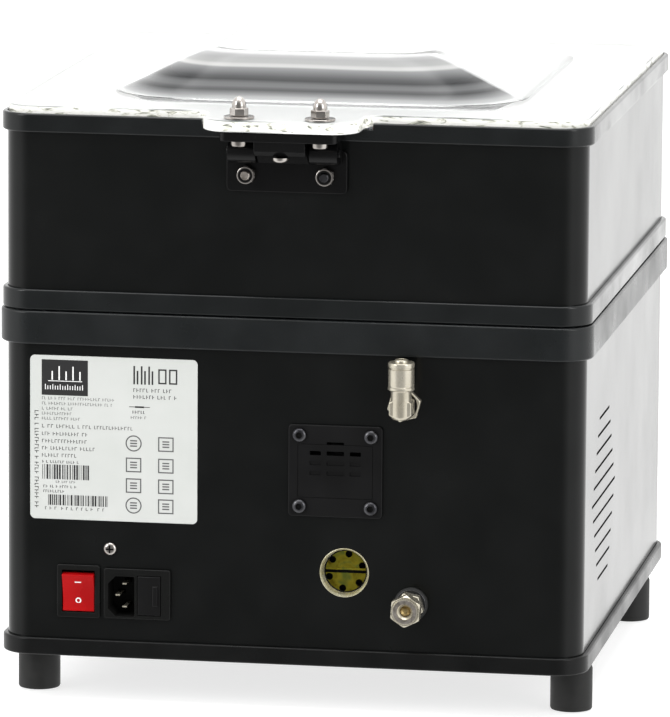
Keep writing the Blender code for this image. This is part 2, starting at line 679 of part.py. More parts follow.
def pneumatics():
    px, pz = PORT
    disc = [(8.0, 157.0), (8.0, 170.6), (13.2, 170.6), (14.0, 171.4), (14.0, 175.4), (13.2, 176.2)]
    plug = make("exhaust_plug", turned(PORT, "Y", disc, 24), "zinc")
    holes = []
    for k in range(6):
        angle = math.radians(20 + 60 * k)
        centre = (px - 10.5 * math.cos(angle), pz + 10.5 * math.sin(angle))
        holes.append(rod(centre, "Y", 2.1, 168.0, 180.0, 10))
    cut(plug, merge(*holes), box(px - 20, px + 20, 174.4, 180, pz - 1.0, pz + 1.0))

    pump = make("vacuum_pump", box(px - 26.5, px + 26.5, 118.0, 165.0, pz - 26.5, pz + 26.5, 2.0), "motor")
    join(
        pump,
        turned(PORT, "Y", [(20.0, 22.0), (25.0, 26.0), (25.0, 120.0)], 28),
        box(px - 24, px + 24, 44.0, 106.0, TRAY[0] + 3.3, pz - 10),
    )
    cut(pump, rod(PORT, "Y", 8.3, 154.0, 170.0, 16))

    ex, ez = ELBOW
    face = REAR + GAP
    shape = prism([(ex + x, ez + z) for x, z in hexagon(17, 22)], "Y", face, face + 4.6, 0.6)
    stem = make("elbow_stem", shape, "nickel")
    join(stem, rod(ELBOW, "Y", 5.8, 168.0, face + 1.0, 16), rod(ELBOW, "Y", 4.0, face + 3.0, 192.4, 16))
    cut(stem, rod(ELBOW, "Y", 2.4, 160.0, 200.0, 12))
    start = face + 4.9
    block = prism([(ex + x, ez + z) for x, z in hexagon(13.4, 90)], "Y", start, 200.6, 0.8)
    body = make("elbow_body", block, "nickel", (ex, ELBOW_Y, ez))
    barrel = [(4.4, 179.6), (5.7, 181.2), (5.7, 197.2), (7.2, 197.6), (7.85, 198.2)]
    barrel += [(7.85, 213.2), (7.2, 213.9)]
    join(body, turned((ex, ELBOW_Y), "Z", barrel, 20))
    cut(
        body,
        rod(ELBOW, "Y", 4.3, face, 193.0, 16),
        turned((ex, ELBOW_Y), "Z", [(3.0, ez), (3.0, 206.0), (4.6, 206.0), (4.6, 216.0)], 16),
    )
    collar = [(4.3, 207.2), (4.3, 215.1), (4.0, 215.5), (3.3, 215.5), (3.1, 215.2), (3.1, 207.2)]
    sleeve = turned((ex, ELBOW_Y), "Z", collar, 18, True)
    make("elbow_collar", sleeve, "nickel", (ex, ELBOW_Y, 207.2))

    dx, dz = DRAIN
    grommet = [
        (6.95, 176.3), (10.0, 176.3), (10.0, REAR - WALL - GAP), (8.2, REAR - WALL - GAP),
        (8.2, face), (10.2, face), (10.2, face + 1.6), (9.4, face + 2.4), (6.95, face + 2.4),
    ]
    make("drain_grommet", turned(DRAIN, "Y", grommet, 20, True), "rubber")
    shape = prism([(dx + x, dz + z) for x, z in hexagon(17, 30)], "Y", 197.2, 205.4, 0.7)
    fitting = make("drain_fitting", shape, "nickel")
    join(
        fitting,
        rod(DRAIN, "Y", 6.5, 160.0, 200.0, 20),
        prism([(dx + x, dz + z) for x, z in hexagon(16, 12)], "Y", 188.0, 194.6, 0.6),
        turned(DRAIN, "Y", [(7.4, 204.0), (7.4, 206.0), (6.6, 206.8)], 24),
    )
    cut(fitting, turned(DRAIN, "Y", [(3.3, 150.0), (3.3, 205.2), (4.6, 205.2), (4.6, 210.0)], 20))


def rating_label():
    x, z = LABEL
    outline = rounded(x - 50.6, x + 50.6, z - 49.4, z + 49.4, 3.0, 3)
    make("rating_label", prism(outline, "Y", REAR + GAP, REAR + GAP + 0.3), "label")


# ---------------------------------------------------------------- inside


def transducers():
    top = TANK_FLOOR - GAP
    profile = [(17.5, 138.0), (19.0, 139.5), (19.0, 160.0), (18.0, 160.6), (18.0, 169.4), (19.0, 170.0)]
    profile += [(19.0, 173.0), (27.0, 186.0), (27.0, top)]
    for number, x in enumerate((-82.0, 0.0, 82.0), 1):
        make(f"transducer_{number}", turned((x, -8.5), "Z", profile, 16), "aluminium")


def heater_and_generator():
    x = TANK_HALF_X + 1.2 + GAP
    make("heater_mat", prism(rounded(-108.0, 90.0, 215.0, 285.0, 8.0, 3), "X", x, x + 1.8), "heater")

    low = TRAY[0] + 3.3
    board = make("generator_board", box(12.0, 152.0, -176.0, -64.0, 38.2, 39.9), "board")
    legs = [rod((bx, by), "Z", 3.2, low, 38.8, 8) for bx in (19.0, 145.0) for by in (-169.0, -71.0)]
    fins = [box(20.0 + 9.0 * i, 25.0 + 9.0 * i, -158.0, -82.0, 42.5, 78.0) for i in range(5)]
    parts = [
        box(20.0, 61.0, -158.0, -82.0, 39.0, 44.0),
        box(84.0, 122.0, -134.0, -92.0, 39.0, 72.0, 2.0),
        rod((138.0, -140.0), "Z", 9.0, 39.0, 66.0, 12),
        rod((138.0, -112.0), "Z", 9.0, 39.0, 66.0, 12),
    ]
    join(board, merge(*legs), *parts[:1], merge(*fins), merge(*parts[1:]))


# ---------------------------------------------------------------- front


def control_knob(name, centre):
    x, z = centre
    back = PANEL_FACE - GAP
    profile = [(18.0, back), (18.0, back - 2.0), (15.6, back - 2.8)]
    profile += [(14.6, back - 16.4), (13.4, back - 17.9)]
    knob = make(name, turned(centre, "Y", profile, 28), "black_plastic", (x, back, z))
    join(knob, rod(centre, "Y", 3.0, back - 2.0, FRONT + 12.0, 10))
    cut(knob, box(x - 0.9, x + 0.9, back - 22, back - 16.8, z + 3.0, z + 20))


def front_controls():
    outline = rounded(-122.0, 122.0, 78.0, 194.0, 6.0, 4)
    panel = make("control_panel", prism(outline, "Y", PANEL_FACE, FRONT - GAP, 0.5), "black_plastic")
    cut(panel, front_cutters(PANEL_FACE - 4, FRONT + 3))
    control_knob("timer_knob", TIMER)
    control_knob("heater_knob", HEATER)
    back = PANEL_FACE - 3.6
    x, z = DEGAS
    button = [(8.6, back), (8.6, back - 3.2), (7.6, back - 4.2)]
    cap = make("degas_button", turned(DEGAS, "Y", button, 24), "black_plastic", (x, back, z))
    join(cap, rod(DEGAS, "Y", 5.7, back - 1.0, FRONT + 10.0, 16))
    wx, wz = WINDOW
    outline = rounded(wx - 38.0, wx + 38.0, wz - 13.0, wz + 13.0, 0.8, 2)
    make("display_window", prism(outline, "Y", PANEL_FACE - 0.5, FRONT - GAP, 0.3), "dark_lens")


clear_scene()
base_and_feet()
casings_and_trims()
tank_and_deck()
lid()
hinge()
vent_and_fan()
inlet()
switch()
pneumatics()
rating_label()
transducers()
heater_and_generator()
front_controls()
smooth_rounds()
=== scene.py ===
"""Looks of the ultrasonic cleaner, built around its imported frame."""

import math
import random

import bmesh
import bpy
from mathutils import Matrix, Vector


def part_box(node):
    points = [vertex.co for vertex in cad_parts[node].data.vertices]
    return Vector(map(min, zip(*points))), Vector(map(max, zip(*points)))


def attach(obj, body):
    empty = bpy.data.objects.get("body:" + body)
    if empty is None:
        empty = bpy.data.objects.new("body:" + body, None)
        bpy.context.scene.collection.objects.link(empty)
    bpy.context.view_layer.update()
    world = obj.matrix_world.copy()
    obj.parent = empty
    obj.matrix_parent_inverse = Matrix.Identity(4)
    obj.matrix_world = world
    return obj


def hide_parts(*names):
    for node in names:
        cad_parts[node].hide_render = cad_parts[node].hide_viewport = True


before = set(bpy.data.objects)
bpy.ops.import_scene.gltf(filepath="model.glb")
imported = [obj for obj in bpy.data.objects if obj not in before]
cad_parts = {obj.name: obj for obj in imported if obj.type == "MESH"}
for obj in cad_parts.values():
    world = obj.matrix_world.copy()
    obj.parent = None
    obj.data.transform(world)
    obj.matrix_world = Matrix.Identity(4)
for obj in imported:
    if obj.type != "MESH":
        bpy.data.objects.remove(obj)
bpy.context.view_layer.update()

MM = 0.001


# ---- places read from the frame, mm


def low(node):
    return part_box(node)[0] / MM


def high(node):
    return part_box(node)[1] / MM


def middle(node):
    return (low(node) + high(node)) / 2


SIDES = ("left", "right")
HALF_W = high("lower_casing").x
FRONT = low("lower_casing").y
REAR = high("lower_casing").y
CORNER = 17.0  # radius of the casing's upright corners
WALL = 2.0
FACE = REAR + 0.3  # where rear fittings sit on the paint
PANEL = low("control_panel").y

HINGE_X = middle("hinge_leaf").x
STUDS = [middle(f"hinge_nut_{side}").xz for side in SIDES]
CAPS = [middle(f"cap_nut_{side}").xy for side in SIDES]
SCREWS = [middle(f"vent_screw_{i}").xz for i in range(1, 5)]
FAN = middle("vent_cover").xz
PORT = middle("exhaust_plug").xz
ELBOW = middle("elbow_stem").xz
DRAIN = middle("drain_fitting").xz
EARTH = middle("earth_screw").xz
SWITCH = middle("switch_bezel").xz
INLET = middle("inlet_body").xz
LABEL = middle("rating_label").xz
TIMER = middle("timer_knob").xz
HEAT = middle("heater_knob").xz
DEGAS = middle("degas_button").xz
WINDOW = middle("display_window").xz

LID_FOOT = low("lid").z
LID_PLATE = LID_FOOT + 7.0  # top of the flat part of the lid
LID_TOP = high("lid").z


# ---- materials


def fill(tree, socket, value):
    """Links a socket to another node's output, or sets its value."""
    if isinstance(value, bpy.types.NodeSocket):
        tree.links.new(value, socket)
    else:
        socket.default_value = value


def new_node(tree, kind, **sockets):
    node = tree.nodes.new(f"ShaderNode{kind}")
    for name, value in sockets.items():
        fill(tree, node.inputs[name.replace("_", " ")], value)
    return node


def new_math(tree, operation, *values):
    node = new_node(tree, "Math")
    node.operation = operation
    for socket, value in zip(node.inputs, values):
        fill(tree, socket, value)
    return node.outputs["Value"]


class Nodes:
    """A new material with short calls for its procedural nodes."""

    def __init__(self, name, colour, roughness, metallic=0.0, **sockets):
        self.material = bpy.data.materials.new(name)
        self.material.use_nodes = True
        self.tree = self.material.node_tree
        self.shader = self.tree.nodes["Principled BSDF"]
        self.use(Base_Color=(*colour, 1.0), Roughness=roughness, Metallic=metallic, **sockets)
        source = self.new("TexCoord")
        self.place = source.outputs["Object"]
        self.normal = source.outputs["Normal"]

    def new(self, kind, **sockets):
        return new_node(self.tree, kind, **sockets)

    def noise(self, scale, detail=3.0, stretch=None, distortion=0.0):
        vector = self.place
        if stretch:
            vector = self.new("Mapping", Scale=stretch, Vector=vector).outputs["Vector"]
        node = self.new("TexNoise", Scale=scale, Detail=detail, Distortion=distortion, Vector=vector)
        return node.outputs["Fac"]

    def voronoi(self, scale):
        return self.new("TexVoronoi", Scale=scale, Vector=self.place).outputs["Distance"]

    def between(self, value, start, end, first=0.0, last=1.0):
        """A value taken from one range to another and held at the ends."""
        node = self.new("MapRange", From_Min=start, From_Max=end, To_Min=first, To_Max=last, Value=value)
        return node.outputs["Result"]

    def ramp(self, factor, *stops):
        node = self.new("ValToRGB", Fac=factor)
        elements = node.color_ramp.elements
        while len(elements) < len(stops):
            elements.new(0.5)
        for element, (place, colour) in zip(elements, stops):
            element.position = place
            element.color = (*colour, 1.0)
        return node.outputs["Color"]

    def bump(self, height, strength, distance, **before):
        node = self.new("Bump", Strength=strength, Distance=distance, Height=height, **before)
        return node.outputs["Normal"]

    def multiply(self, *values):
        return new_math(self.tree, "MULTIPLY", *values)

    def add(self, *values):
        return new_math(self.tree, "ADD", *values)

    def blend(self, factor, first, second):
        return self.new("MixRGB", Fac=factor, Color1=first, Color2=second).outputs["Color"]

    def part(self, vector, axis):
        return self.new("SeparateXYZ", Vector=vector).outputs[axis]

    def use(self, **sockets):
        for name, value in sockets.items():
            fill(self.tree, self.shader.inputs[name.replace("_", " ")], value)
        return self.material


def gloss_paint():
    m = Nodes("gloss_black_paint", (0.004, 0.0043, 0.0042), 0.16, IOR=1.28)
    dark, light = (0.0032, 0.0036, 0.0035), (0.005, 0.0054, 0.0053)
    return m.use(
        Base_Color=m.ramp(m.noise(30.0, 4.0), (0.35, dark), (0.7, light)),
        Roughness=m.between(m.noise(9.0, 5.0), 0.3, 0.75, 0.13, 0.21),
        Normal=m.bump(m.noise(700.0, 2.0), 0.05, 0.0002),
    )


def moulded(name, dark, light, roughness, grain=1400.0, depth=0.12, ior=1.45):
    """Moulded plastic with a fine grain and slight handling marks."""
    m = Nodes(name, dark, roughness, IOR=ior)
    grains = m.bump(m.voronoi(grain), depth, 0.0002)
    return m.use(
        Base_Color=m.ramp(m.noise(45.0, 5.0), (0.3, dark), (0.75, light)),
        Roughness=m.between(m.noise(22.0, 4.0), 0.3, 0.7, roughness - 0.06, roughness + 0.08),
        Normal=m.bump(m.noise(60.0, 3.0), 0.05, 0.0006, Normal=grains),
    )


def rubber():
    m = Nodes("foot_rubber", (0.012, 0.012, 0.012), 0.62, IOR=1.36)
    dust = m.noise(140.0, 6.0)
    return m.use(
        Base_Color=m.ramp(dust, (0.4, (0.0085, 0.0088, 0.0085)), (0.8, (0.017, 0.0172, 0.0162))),
        Roughness=m.between(dust, 0.3, 0.8, 0.5, 0.72),
        Normal=m.bump(dust, 0.12, 0.0004),
    )


def silicone():
    m = Nodes("gasket_silicone", (0.55, 0.56, 0.56), 0.5, Subsurface_Weight=0.1, Subsurface_Scale=0.003)
    cloud = m.noise(80.0, 4.0)
    return m.use(
        Base_Color=m.ramp(cloud, (0.3, (0.5, 0.51, 0.51)), (0.8, (0.62, 0.63, 0.62))),
        Normal=m.bump(cloud, 0.08, 0.0004),
    )


def brushed(name, colour, smooth, rough, stretch, depth=0.04):
    """Metal with brushing lines along one direction."""
    m = Nodes(name, colour, smooth, 1.0)
    lines = m.noise(1.0, 4.0, stretch)
    return m.use(
        Base_Color=m.ramp(m.noise(14.0, 4.0), (0.3, tuple(0.92 * c for c in colour)), (0.75, colour)),
        Roughness=m.between(lines, 0.3, 0.7, smooth, rough),
        Normal=m.bump(lines, depth, 0.0001),
    )


def turned_metal(name, colour, shade, smooth, rough, scale=260.0, depth=0.05, metallic=1.0):
    """Turned or plated metal with small marks and a soft change of tone."""
    m = Nodes(name, colour, smooth, metallic)
    marks = m.noise(scale, 5.0)
    return m.use(
        Base_Color=m.ramp(m.noise(0.35 * scale, 3.0, distortion=0.6), (0.35, shade), (0.65, colour)),
        Roughness=m.between(marks, 0.3, 0.75, smooth, rough),
        Normal=m.bump(marks, depth, 0.0002),
    )


def zinc_plate():
    m = Nodes("yellow_zinc", (0.8, 0.68, 0.3), 0.3, 1.0)
    stain = m.noise(110.0, 4.0, distortion=1.2)
    colour = m.ramp(
        stain,
        (0.32, (0.09, 0.06, 0.005)),
        (0.44, (0.2, 0.17, 0.015)),
        (0.56, (0.26, 0.22, 0.02)),
        (0.7, (0.15, 0.17, 0.03)),
    )
    rough = m.between(m.noise(320.0, 4.0), 0.3, 0.7, 0.3, 0.48)
    return m.use(Base_Color=colour, Roughness=rough, Normal=m.bump(stain, 0.1, 0.0003))


CLEAR = (0.97, 0.985, 0.98)
SLOPE_REFLECTION_BANDS = (  # painted reflection on the rear slope: (share of the dome's height, red, green, blue) of its level bands
    (0.0, 0.3, 0.305, 0.305),
    (0.06, 0.24, 0.244, 0.245),
    (0.1, 0.15, 0.153, 0.155),
    (0.14, 0.1, 0.102, 0.104),
    (0.2, 0.03, 0.031, 0.032),
    (0.24, 0.05, 0.051, 0.053),
    (0.28, 0.09, 0.092, 0.094),
    (0.34, 0.08, 0.082, 0.084),
    (0.41, 0.012, 0.013, 0.014),
    (0.48, 0.035, 0.036, 0.038),
    (0.6, 0.12, 0.122, 0.125),
    (0.65, 0.16, 0.163, 0.165),
    (0.69, 0.36, 0.36, 0.355),
    (0.73, 0.34, 0.34, 0.335),
    (0.77, 0.25, 0.252, 0.25),
    (0.87, 0.23, 0.232, 0.232),
    (0.93, 0.27, 0.272, 0.272),
    (1.0, 0.6, 0.6, 0.6),
)


def clear_acrylic(foot, top):
    """Clear sheet whose rear slope, between the heights foot and top, lets little light through and carries a
    painted reflection in soft level bands of dark and light grey; its side slopes let a little less light
    through, and the strip behind the dome is greyer and hazier.
    """
    m = Nodes("clear_acrylic", CLEAR, 0.0, IOR=1.38, Specular_IOR_Level=0.36)
    handling = m.noise(25.0, 5.0)
    height = m.part(m.place, "Z")
    above_plate = m.between(height, foot + 0.0001, foot + 0.0009)
    leaning = m.between(m.part(m.normal, "Z"), 0.995, 0.96)
    at_rear = m.between(m.part(m.place, "Y"), 0.08, 0.09)
    rearward = m.multiply(m.between(m.part(m.normal, "Y"), 0.0, 0.1), at_rear)
    slope = m.multiply(m.multiply(rearward, leaning), above_plate)
    sideways = m.part(m.normal, "X")
    side = m.multiply(m.between(m.multiply(sideways, sideways), 0.01, 0.12), above_plate)
    behind_dome = m.between(m.part(m.place, "Y"), 0.134, 0.15)
    margin = m.multiply(behind_dome, m.between(height, foot - 0.003, foot - 0.001))
    wavy = m.between(m.noise(9.0, 2.0, (0.5, 1.0, 6.0)), 0.0, 1.0, -0.07, 0.07)
    # Painted reflection: the rear slope's colour runs through the level bands by height.
    bands = m.ramp(m.add(m.between(height, foot, top), wavy), *((stop[0], stop[1:]) for stop in SLOPE_REFLECTION_BANDS))
    plain = m.ramp(margin, (0.0, CLEAR), (1.0, (0.68, 0.69, 0.685)))
    clear = m.multiply(m.between(slope, 0.0, 1.0, 1.0, 0.04), m.between(side, 0.0, 1.0, 1.0, 0.7))
    haze = m.add(m.between(slope, 0.0, 1.0, 0.0, 0.2), m.between(margin, 0.0, 1.0, 0.0, 0.3))
    return m.use(
        Base_Color=m.blend(slope, plain, bands),
        Transmission_Weight=m.multiply(clear, m.between(margin, 0.0, 1.0, 1.0, 0.4)),
        Roughness=m.add(m.between(handling, 0.4, 0.8, 0.0, 0.02), haze),
        Normal=m.bump(m.noise(14.0, 3.0, (0.35, 1.0, 1.0)), 0.2, 0.0004),
    )


def acrylic_edge():
    """Sawn and flame-polished edge: milky white, with saw ripples, grey flecks and a faint yellow cast, and a
    faint painted glow, as it weakly emits its own colours.
    """
    m = Nodes("acrylic_edge", (0.86, 0.86, 0.84), 0.12, IOR=1.49, Emission_Strength=0.07)
    ripple = m.noise(95.0, 5.0, (1.0, 1.0, 3.0), 1.6)
    colour = m.ramp(
        ripple,
        (0.33, (0.17, 0.18, 0.155)),
        (0.4, (0.58, 0.58, 0.5)),
        (0.47, (0.83, 0.83, 0.79)),
        (0.66, (0.88, 0.88, 0.84)),
    )
    return m.use(Base_Color=colour, Emission_Color=colour, Normal=m.bump(ripple, 0.4, 0.0006))


def acrylic_arris():
    """Rounded corners of the clear sheet, painted grey with long darker and lighter streaks, as painted shade
    along the sheet's edges.
    """
    m = Nodes("acrylic_arris", (0.6, 0.61, 0.6), 0.25, IOR=1.45)
    edge_streaks = m.noise(42.0, 3.0, (0.35, 0.35, 1.0), 0.8)
    colour = m.ramp(
        edge_streaks, (0.42, (0.16, 0.17, 0.165)), (0.5, (0.42, 0.43, 0.42)), (0.58, (0.82, 0.82, 0.8))
    )
    return m.use(Base_Color=colour, Normal=m.bump(edge_streaks, 0.3, 0.0003))


def film(name, colour, shade, roughness, ior=1.45):
    """Printed film or plain smooth plastic."""
    m = Nodes(name, colour, roughness, IOR=ior)
    cloud = m.noise(35.0, 4.0)
    return m.use(
        Base_Color=m.ramp(cloud, (0.3, shade), (0.75, colour)),
        Roughness=m.between(cloud, 0.3, 0.7, roughness - 0.05, roughness + 0.05),
    )


def lens():
    m = Nodes("smoked_lens", (0.006, 0.007, 0.01), 0.06, Coat_Weight=0.5, Coat_Roughness=0.03)
    return m.use(Roughness=m.between(m.noise(30.0, 4.0), 0.3, 0.7, 0.04, 0.1))


def circuit_board():
    m = Nodes("solder_mask", (0.02, 0.13, 0.05), 0.35)
    colour = m.ramp(m.voronoi(180.0), (0.2, (0.015, 0.1, 0.04)), (0.6, (0.03, 0.17, 0.07)))
    return m.use(Base_Color=colour, Roughness=m.between(m.noise(200.0), 0.3, 0.7, 0.3, 0.45))


PAINT = gloss_paint()
HINGE_PAINT = moulded(
    "hinge_paint", (0.0022, 0.0022, 0.0023), (0.0034, 0.0034, 0.0036), 0.24, 900.0, 0.05, 1.27
)
TRIM = moulded("grained_trim", (0.0045, 0.0056, 0.006), (0.008, 0.0095, 0.0102), 0.3, 1600.0, 0.3, 1.36)
TRIM_SMOOTH = moulded(
    "smooth_trim", (0.0042, 0.005, 0.0052), (0.0072, 0.0084, 0.0088), 0.2, 1200.0, 0.06, 1.36
)
TRAY = moulded("tray_moulding", (0.0028, 0.003, 0.003), (0.005, 0.0053, 0.0053), 0.3, 1600.0, 0.15, 1.27)
BLACK = moulded(
    "black_moulding", (0.0036, 0.0036, 0.0037), (0.0055, 0.0055, 0.0058), 0.34, 2400.0, 0.08, 1.26
)
BLACK_GLOSS = moulded(
    "inlet_moulding", (0.0036, 0.0038, 0.0036), (0.0056, 0.0058, 0.0055), 0.26, 2600.0, 0.06, 1.3
)
# Painted shade: a near-black material laid into recesses, sockets, holes and gaps where shade falls.
PAINTED_SHADE = moulded("recess_painted_shade", (0.0025, 0.0025, 0.0025), (0.005, 0.0048, 0.0045), 0.7, 900.0, 0.1, 1.2)
PUMP = moulded("pump_paint", (0.06, 0.065, 0.07), (0.08, 0.085, 0.09), 0.4)
RUBBER = rubber()
SILICONE = silicone()
TANK_STEEL = brushed("polished_stainless", (0.68, 0.68, 0.68), 0.16, 0.24, (3.0, 500.0, 500.0), 0.012)
ALUMINIUM = brushed("machined_aluminium", (0.66, 0.66, 0.66), 0.3, 0.45, (900.0, 900.0, 4.0))
STEEL = turned_metal("fastener_steel", (0.5, 0.47, 0.445), (0.32, 0.295, 0.275), 0.1, 0.2)
GREY_STEEL = turned_metal("screw_steel", (0.085, 0.085, 0.09), (0.045, 0.045, 0.05), 0.24, 0.38)
NICKEL = turned_metal("bright_nickel", (0.54, 0.505, 0.42), (0.44, 0.405, 0.32), 0.18, 0.3, 180.0, 0.05, 0.75)
FACED_NICKEL = turned_metal("faced_nickel", (0.5, 0.46, 0.42), (0.26, 0.235, 0.205), 0.3, 0.5, 900.0, 0.4)
BORE = turned_metal("brass_bore", (0.5, 0.38, 0.17), (0.24, 0.17, 0.07), 0.35, 0.5, 700.0, 0.3)
PORT_RIM = turned_metal("pale_zinc", (0.6, 0.57, 0.43), (0.42, 0.38, 0.24), 0.2, 0.32, metallic=0.6)
ZINC = zinc_plate()
ACRYLIC = clear_acrylic(LID_PLATE * MM, LID_TOP * MM)
ACRYLIC_EDGE = acrylic_edge()
ACRYLIC_ARRIS = acrylic_arris()
LABEL_FILM = film("label_film", (0.5, 0.51, 0.495), (0.47, 0.485, 0.465), 0.45)
PRINT = film("label_print", (0.012, 0.012, 0.013), (0.02, 0.02, 0.02), 0.4)
GREY_PRINT = film("label_grey_print", (0.07, 0.07, 0.07), (0.1, 0.1, 0.1), 0.45)
WHITE_PRINT = film("white_print", (0.78, 0.78, 0.77), (0.7, 0.7, 0.7), 0.4)
RED = film("switch_red", (0.37, 0.003, 0.004), (0.28, 0.002, 0.003), 0.3, 1.2)
HEATER = film("heater_silicone", (0.55, 0.16, 0.04), (0.45, 0.12, 0.03), 0.55)
SEGMENT = film("unlit_segments", (0.03, 0.012, 0.012), (0.035, 0.014, 0.014), 0.3)
LENS = lens()
BOARD = circuit_board()


# ---- outlines, mm


def arc(cx, cy, radius, start, end, steps):
    """Points on an arc, in degrees, both ends included."""
    angles = [math.radians(start + (end - start) * i / steps) for i in range(steps + 1)]
    return [(cx + radius * math.cos(a), cy + radius * math.sin(a)) for a in angles]


def rounded(x0, x1, y0, y1, r, steps=12):
    return (
        arc(x1 - r, y0 + r, r, -90, 0, steps)
        + arc(x1 - r, y1 - r, r, 0, 90, steps)
        + arc(x0 + r, y1 - r, r, 90, 180, steps)
        + arc(x0 + r, y0 + r, r, 180, 270, steps)
    )


def pad(centre, half_x, half_z, r, steps=8):
    """Rounded outline about a centre, from its half sizes."""
    x, z = centre
    return rounded(x - half_x, x + half_x, z - half_z, z + half_z, r, steps)


def inset(points, distance):
    """A closed outline moved inwards, with mitred corners."""
    moved = []
    for i, point in enumerate(points):
        before, here, after = Vector(points[i - 1]), Vector(point), Vector(points[(i + 1) % len(points)])
        first, second = (here - before).normalized(), (after - here).normalized()
        normal = Vector((-first.y - second.y, first.x + second.x)).normalized()
        reach = distance / max(0.3, normal.dot(Vector((-first.y, first.x))))
        moved.append((here.x + normal.x * reach, here.y + normal.y * reach))
    return moved


def hexagon(centre, flats, turn=0.0):
    """Hexagon with slightly rounded corners, from its width across flats."""
    radius = flats / math.sqrt(3)
    points = []
    for i in range(6):
        corner = math.radians(turn + 60 * i)
        for lean in (-4.0, 0.0, 4.0):
            a = corner + math.radians(lean)
            r = min(radius * 0.992, flats / 2 / math.cos(math.pi / 6 - abs(math.radians(lean))))
            points.append((centre[0] + r * math.cos(a), centre[1] + r * math.sin(a)))
    return points


# ---- meshes, mm


def along(axis, a, b, t):
    """Point from two plan coordinates and a distance t along the axis."""
    return {"X": (t, a, b), "Y": (a, t, b), "Z": (a, b, t)}[axis]


def loft(loops, ring=False):
    """Vertices and faces through loops with one point count, capped unless they close into a ring."""
    count = len(loops[0])
    verts = [point for loop in loops for point in loop]
    faces = []
    for row in range(len(loops) if ring else len(loops) - 1):
        a, b = row * count, (row + 1) % len(loops) * count
        for i in range(count):
            j = (i + 1) % count
            faces.append((a + i, a + j, b + j, b + i))
    if not ring:
        faces.append(tuple(range(count)))
        faces.append(tuple(range(len(verts) - count, len(verts))))
    return verts, faces


def merge(shapes):
    """Several separate shapes as one."""
    verts, faces = [], []
    for more_verts, more_faces in shapes:
        start = len(verts)
        verts += more_verts
        faces += [tuple(i + start for i in face) for face in more_faces]
    return verts, faces


def stack(levels, ring=False, axis="Z"):
    """Shape through (outline, distance along the axis) levels."""
    return loft([[along(axis, a, b, t) for a, b in outline] for outline, t in levels], ring)


def rolled(edge, steps):
    """(inset, rise) pairs of a rounded edge, from its end face out to its wall."""
    turn = [math.radians(90 * i / steps) for i in range(steps + 1)]
    return [(edge * (1 - math.sin(a)), edge * (1 - math.cos(a))) for a in turn]


def prism(outline, axis, start, end, edge=0.0, steps=3):
    """Outline pushed along an axis, its end edges rounded to a radius."""
    levels = [(0.0, start), (0.0, end)]
    if edge:
        roll = rolled(edge, steps)
        levels = [(d, start + up) for d, up in roll] + [(d, end - up) for d, up in reversed(roll)]
    return stack([(inset(outline, d), t) for d, t in levels], axis=axis)


def box(x0, x1, y0, y1, z0, z1):
    return prism([(x0, y0), (x1, y0), (x1, y1), (x0, y1)], "Z", z0, z1)


def block(centre, half_x, half_z, y0, y1):
    x, z = centre
    return box(x - half_x, x + half_x, y0, y1, z - half_z, z + half_z)


def turned(centre, axis, profile, sides=48, bored=False):
    """Profile of (radius, distance) pairs turned about an axis; bored closes the profile into a tube."""
    a, b = centre
    loops = []
    for r, t in profile:
        circle = arc(0, 0, r, 0, 360 - 360 / sides, sides - 1)
        loops.append([along(axis, a + x, b + y, t) for x, y in circle])
    return loft(loops, bored)


def rod(centre, axis, radius, start, end, sides=48):
    return turned(centre, axis, [(radius, start), (radius, end)], sides)


def rods(centres, axis, radius, start, end, sides):
    return merge([rod(centre, axis, radius, start, end, sides) for centre in centres])


def beyond(base, *pairs):
    """Profile of (radius, distance) pairs whose distances count from a base."""
    return [(r, base + t) for r, t in pairs]


def mesh_object(name, shape):
    verts, faces = shape
    mesh = bpy.data.meshes.new(name)
    mesh.from_pydata([Vector(v) * MM for v in verts], [], faces)
    work = bmesh.new()
    work.from_mesh(mesh)
    bmesh.ops.recalc_face_normals(work, faces=work.faces[:])
    work.to_mesh(mesh)
    work.free()
    obj = bpy.data.objects.new(name, mesh)
    bpy.context.scene.collection.objects.link(obj)
    return obj


def combine(obj, operation, *shapes):
    """Join shapes to an object, cut them from it or keep what they share, and keep the result as its mesh."""
    helpers = []
    for shape in shapes:
        helper = mesh_object("helper", shape)
        modifier = obj.modifiers.new("combine", "BOOLEAN")
        modifier.operation = operation
        modifier.solver = "EXACT"
        modifier.object = helper
        helpers.append(helper)
    bpy.context.view_layer.update()
    result = bpy.data.meshes.new_from_object(obj.evaluated_get(bpy.context.evaluated_depsgraph_get()))
    obj.modifiers.clear()
    obj.data = result
    for helper in helpers:
        bpy.data.objects.remove(helper, do_unlink=True)


def cut(obj, *shapes):
    combine(obj, "DIFFERENCE", *shapes)


def join(obj, *shapes):
    combine(obj, "UNION", *shapes)


def finished(obj, material, *nodes, body="case", soften=0.0, sharp=32.0):
    """Material, rounded edges, smooth shading and body of a piece, and the CAD nodes it stands for."""
    obj.data.materials.clear()
    obj.data.materials.append(material)
    for polygon in obj.data.polygons:
        polygon.use_smooth = True
    obj.data.set_sharp_from_angle(angle=math.radians(sharp))
    if soften:
        bevel = obj.modifiers.new("soft edges", "BEVEL")
        bevel.width = soften * MM
        bevel.segments = 2
        bevel.limit_method = "ANGLE"
        bevel.angle_limit = math.radians(38)
        bevel.harden_normals = True
        bevel.use_clamp_overlap = True
    weighted = obj.modifiers.new("even shading", "WEIGHTED_NORMAL")
    weighted.keep_sharp = True
    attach(obj, body)
    if nodes:
        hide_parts(*nodes)


def solid(name, shape, material, *nodes, **rest):
    finished(mesh_object(name, shape), material, *nodes, **rest)


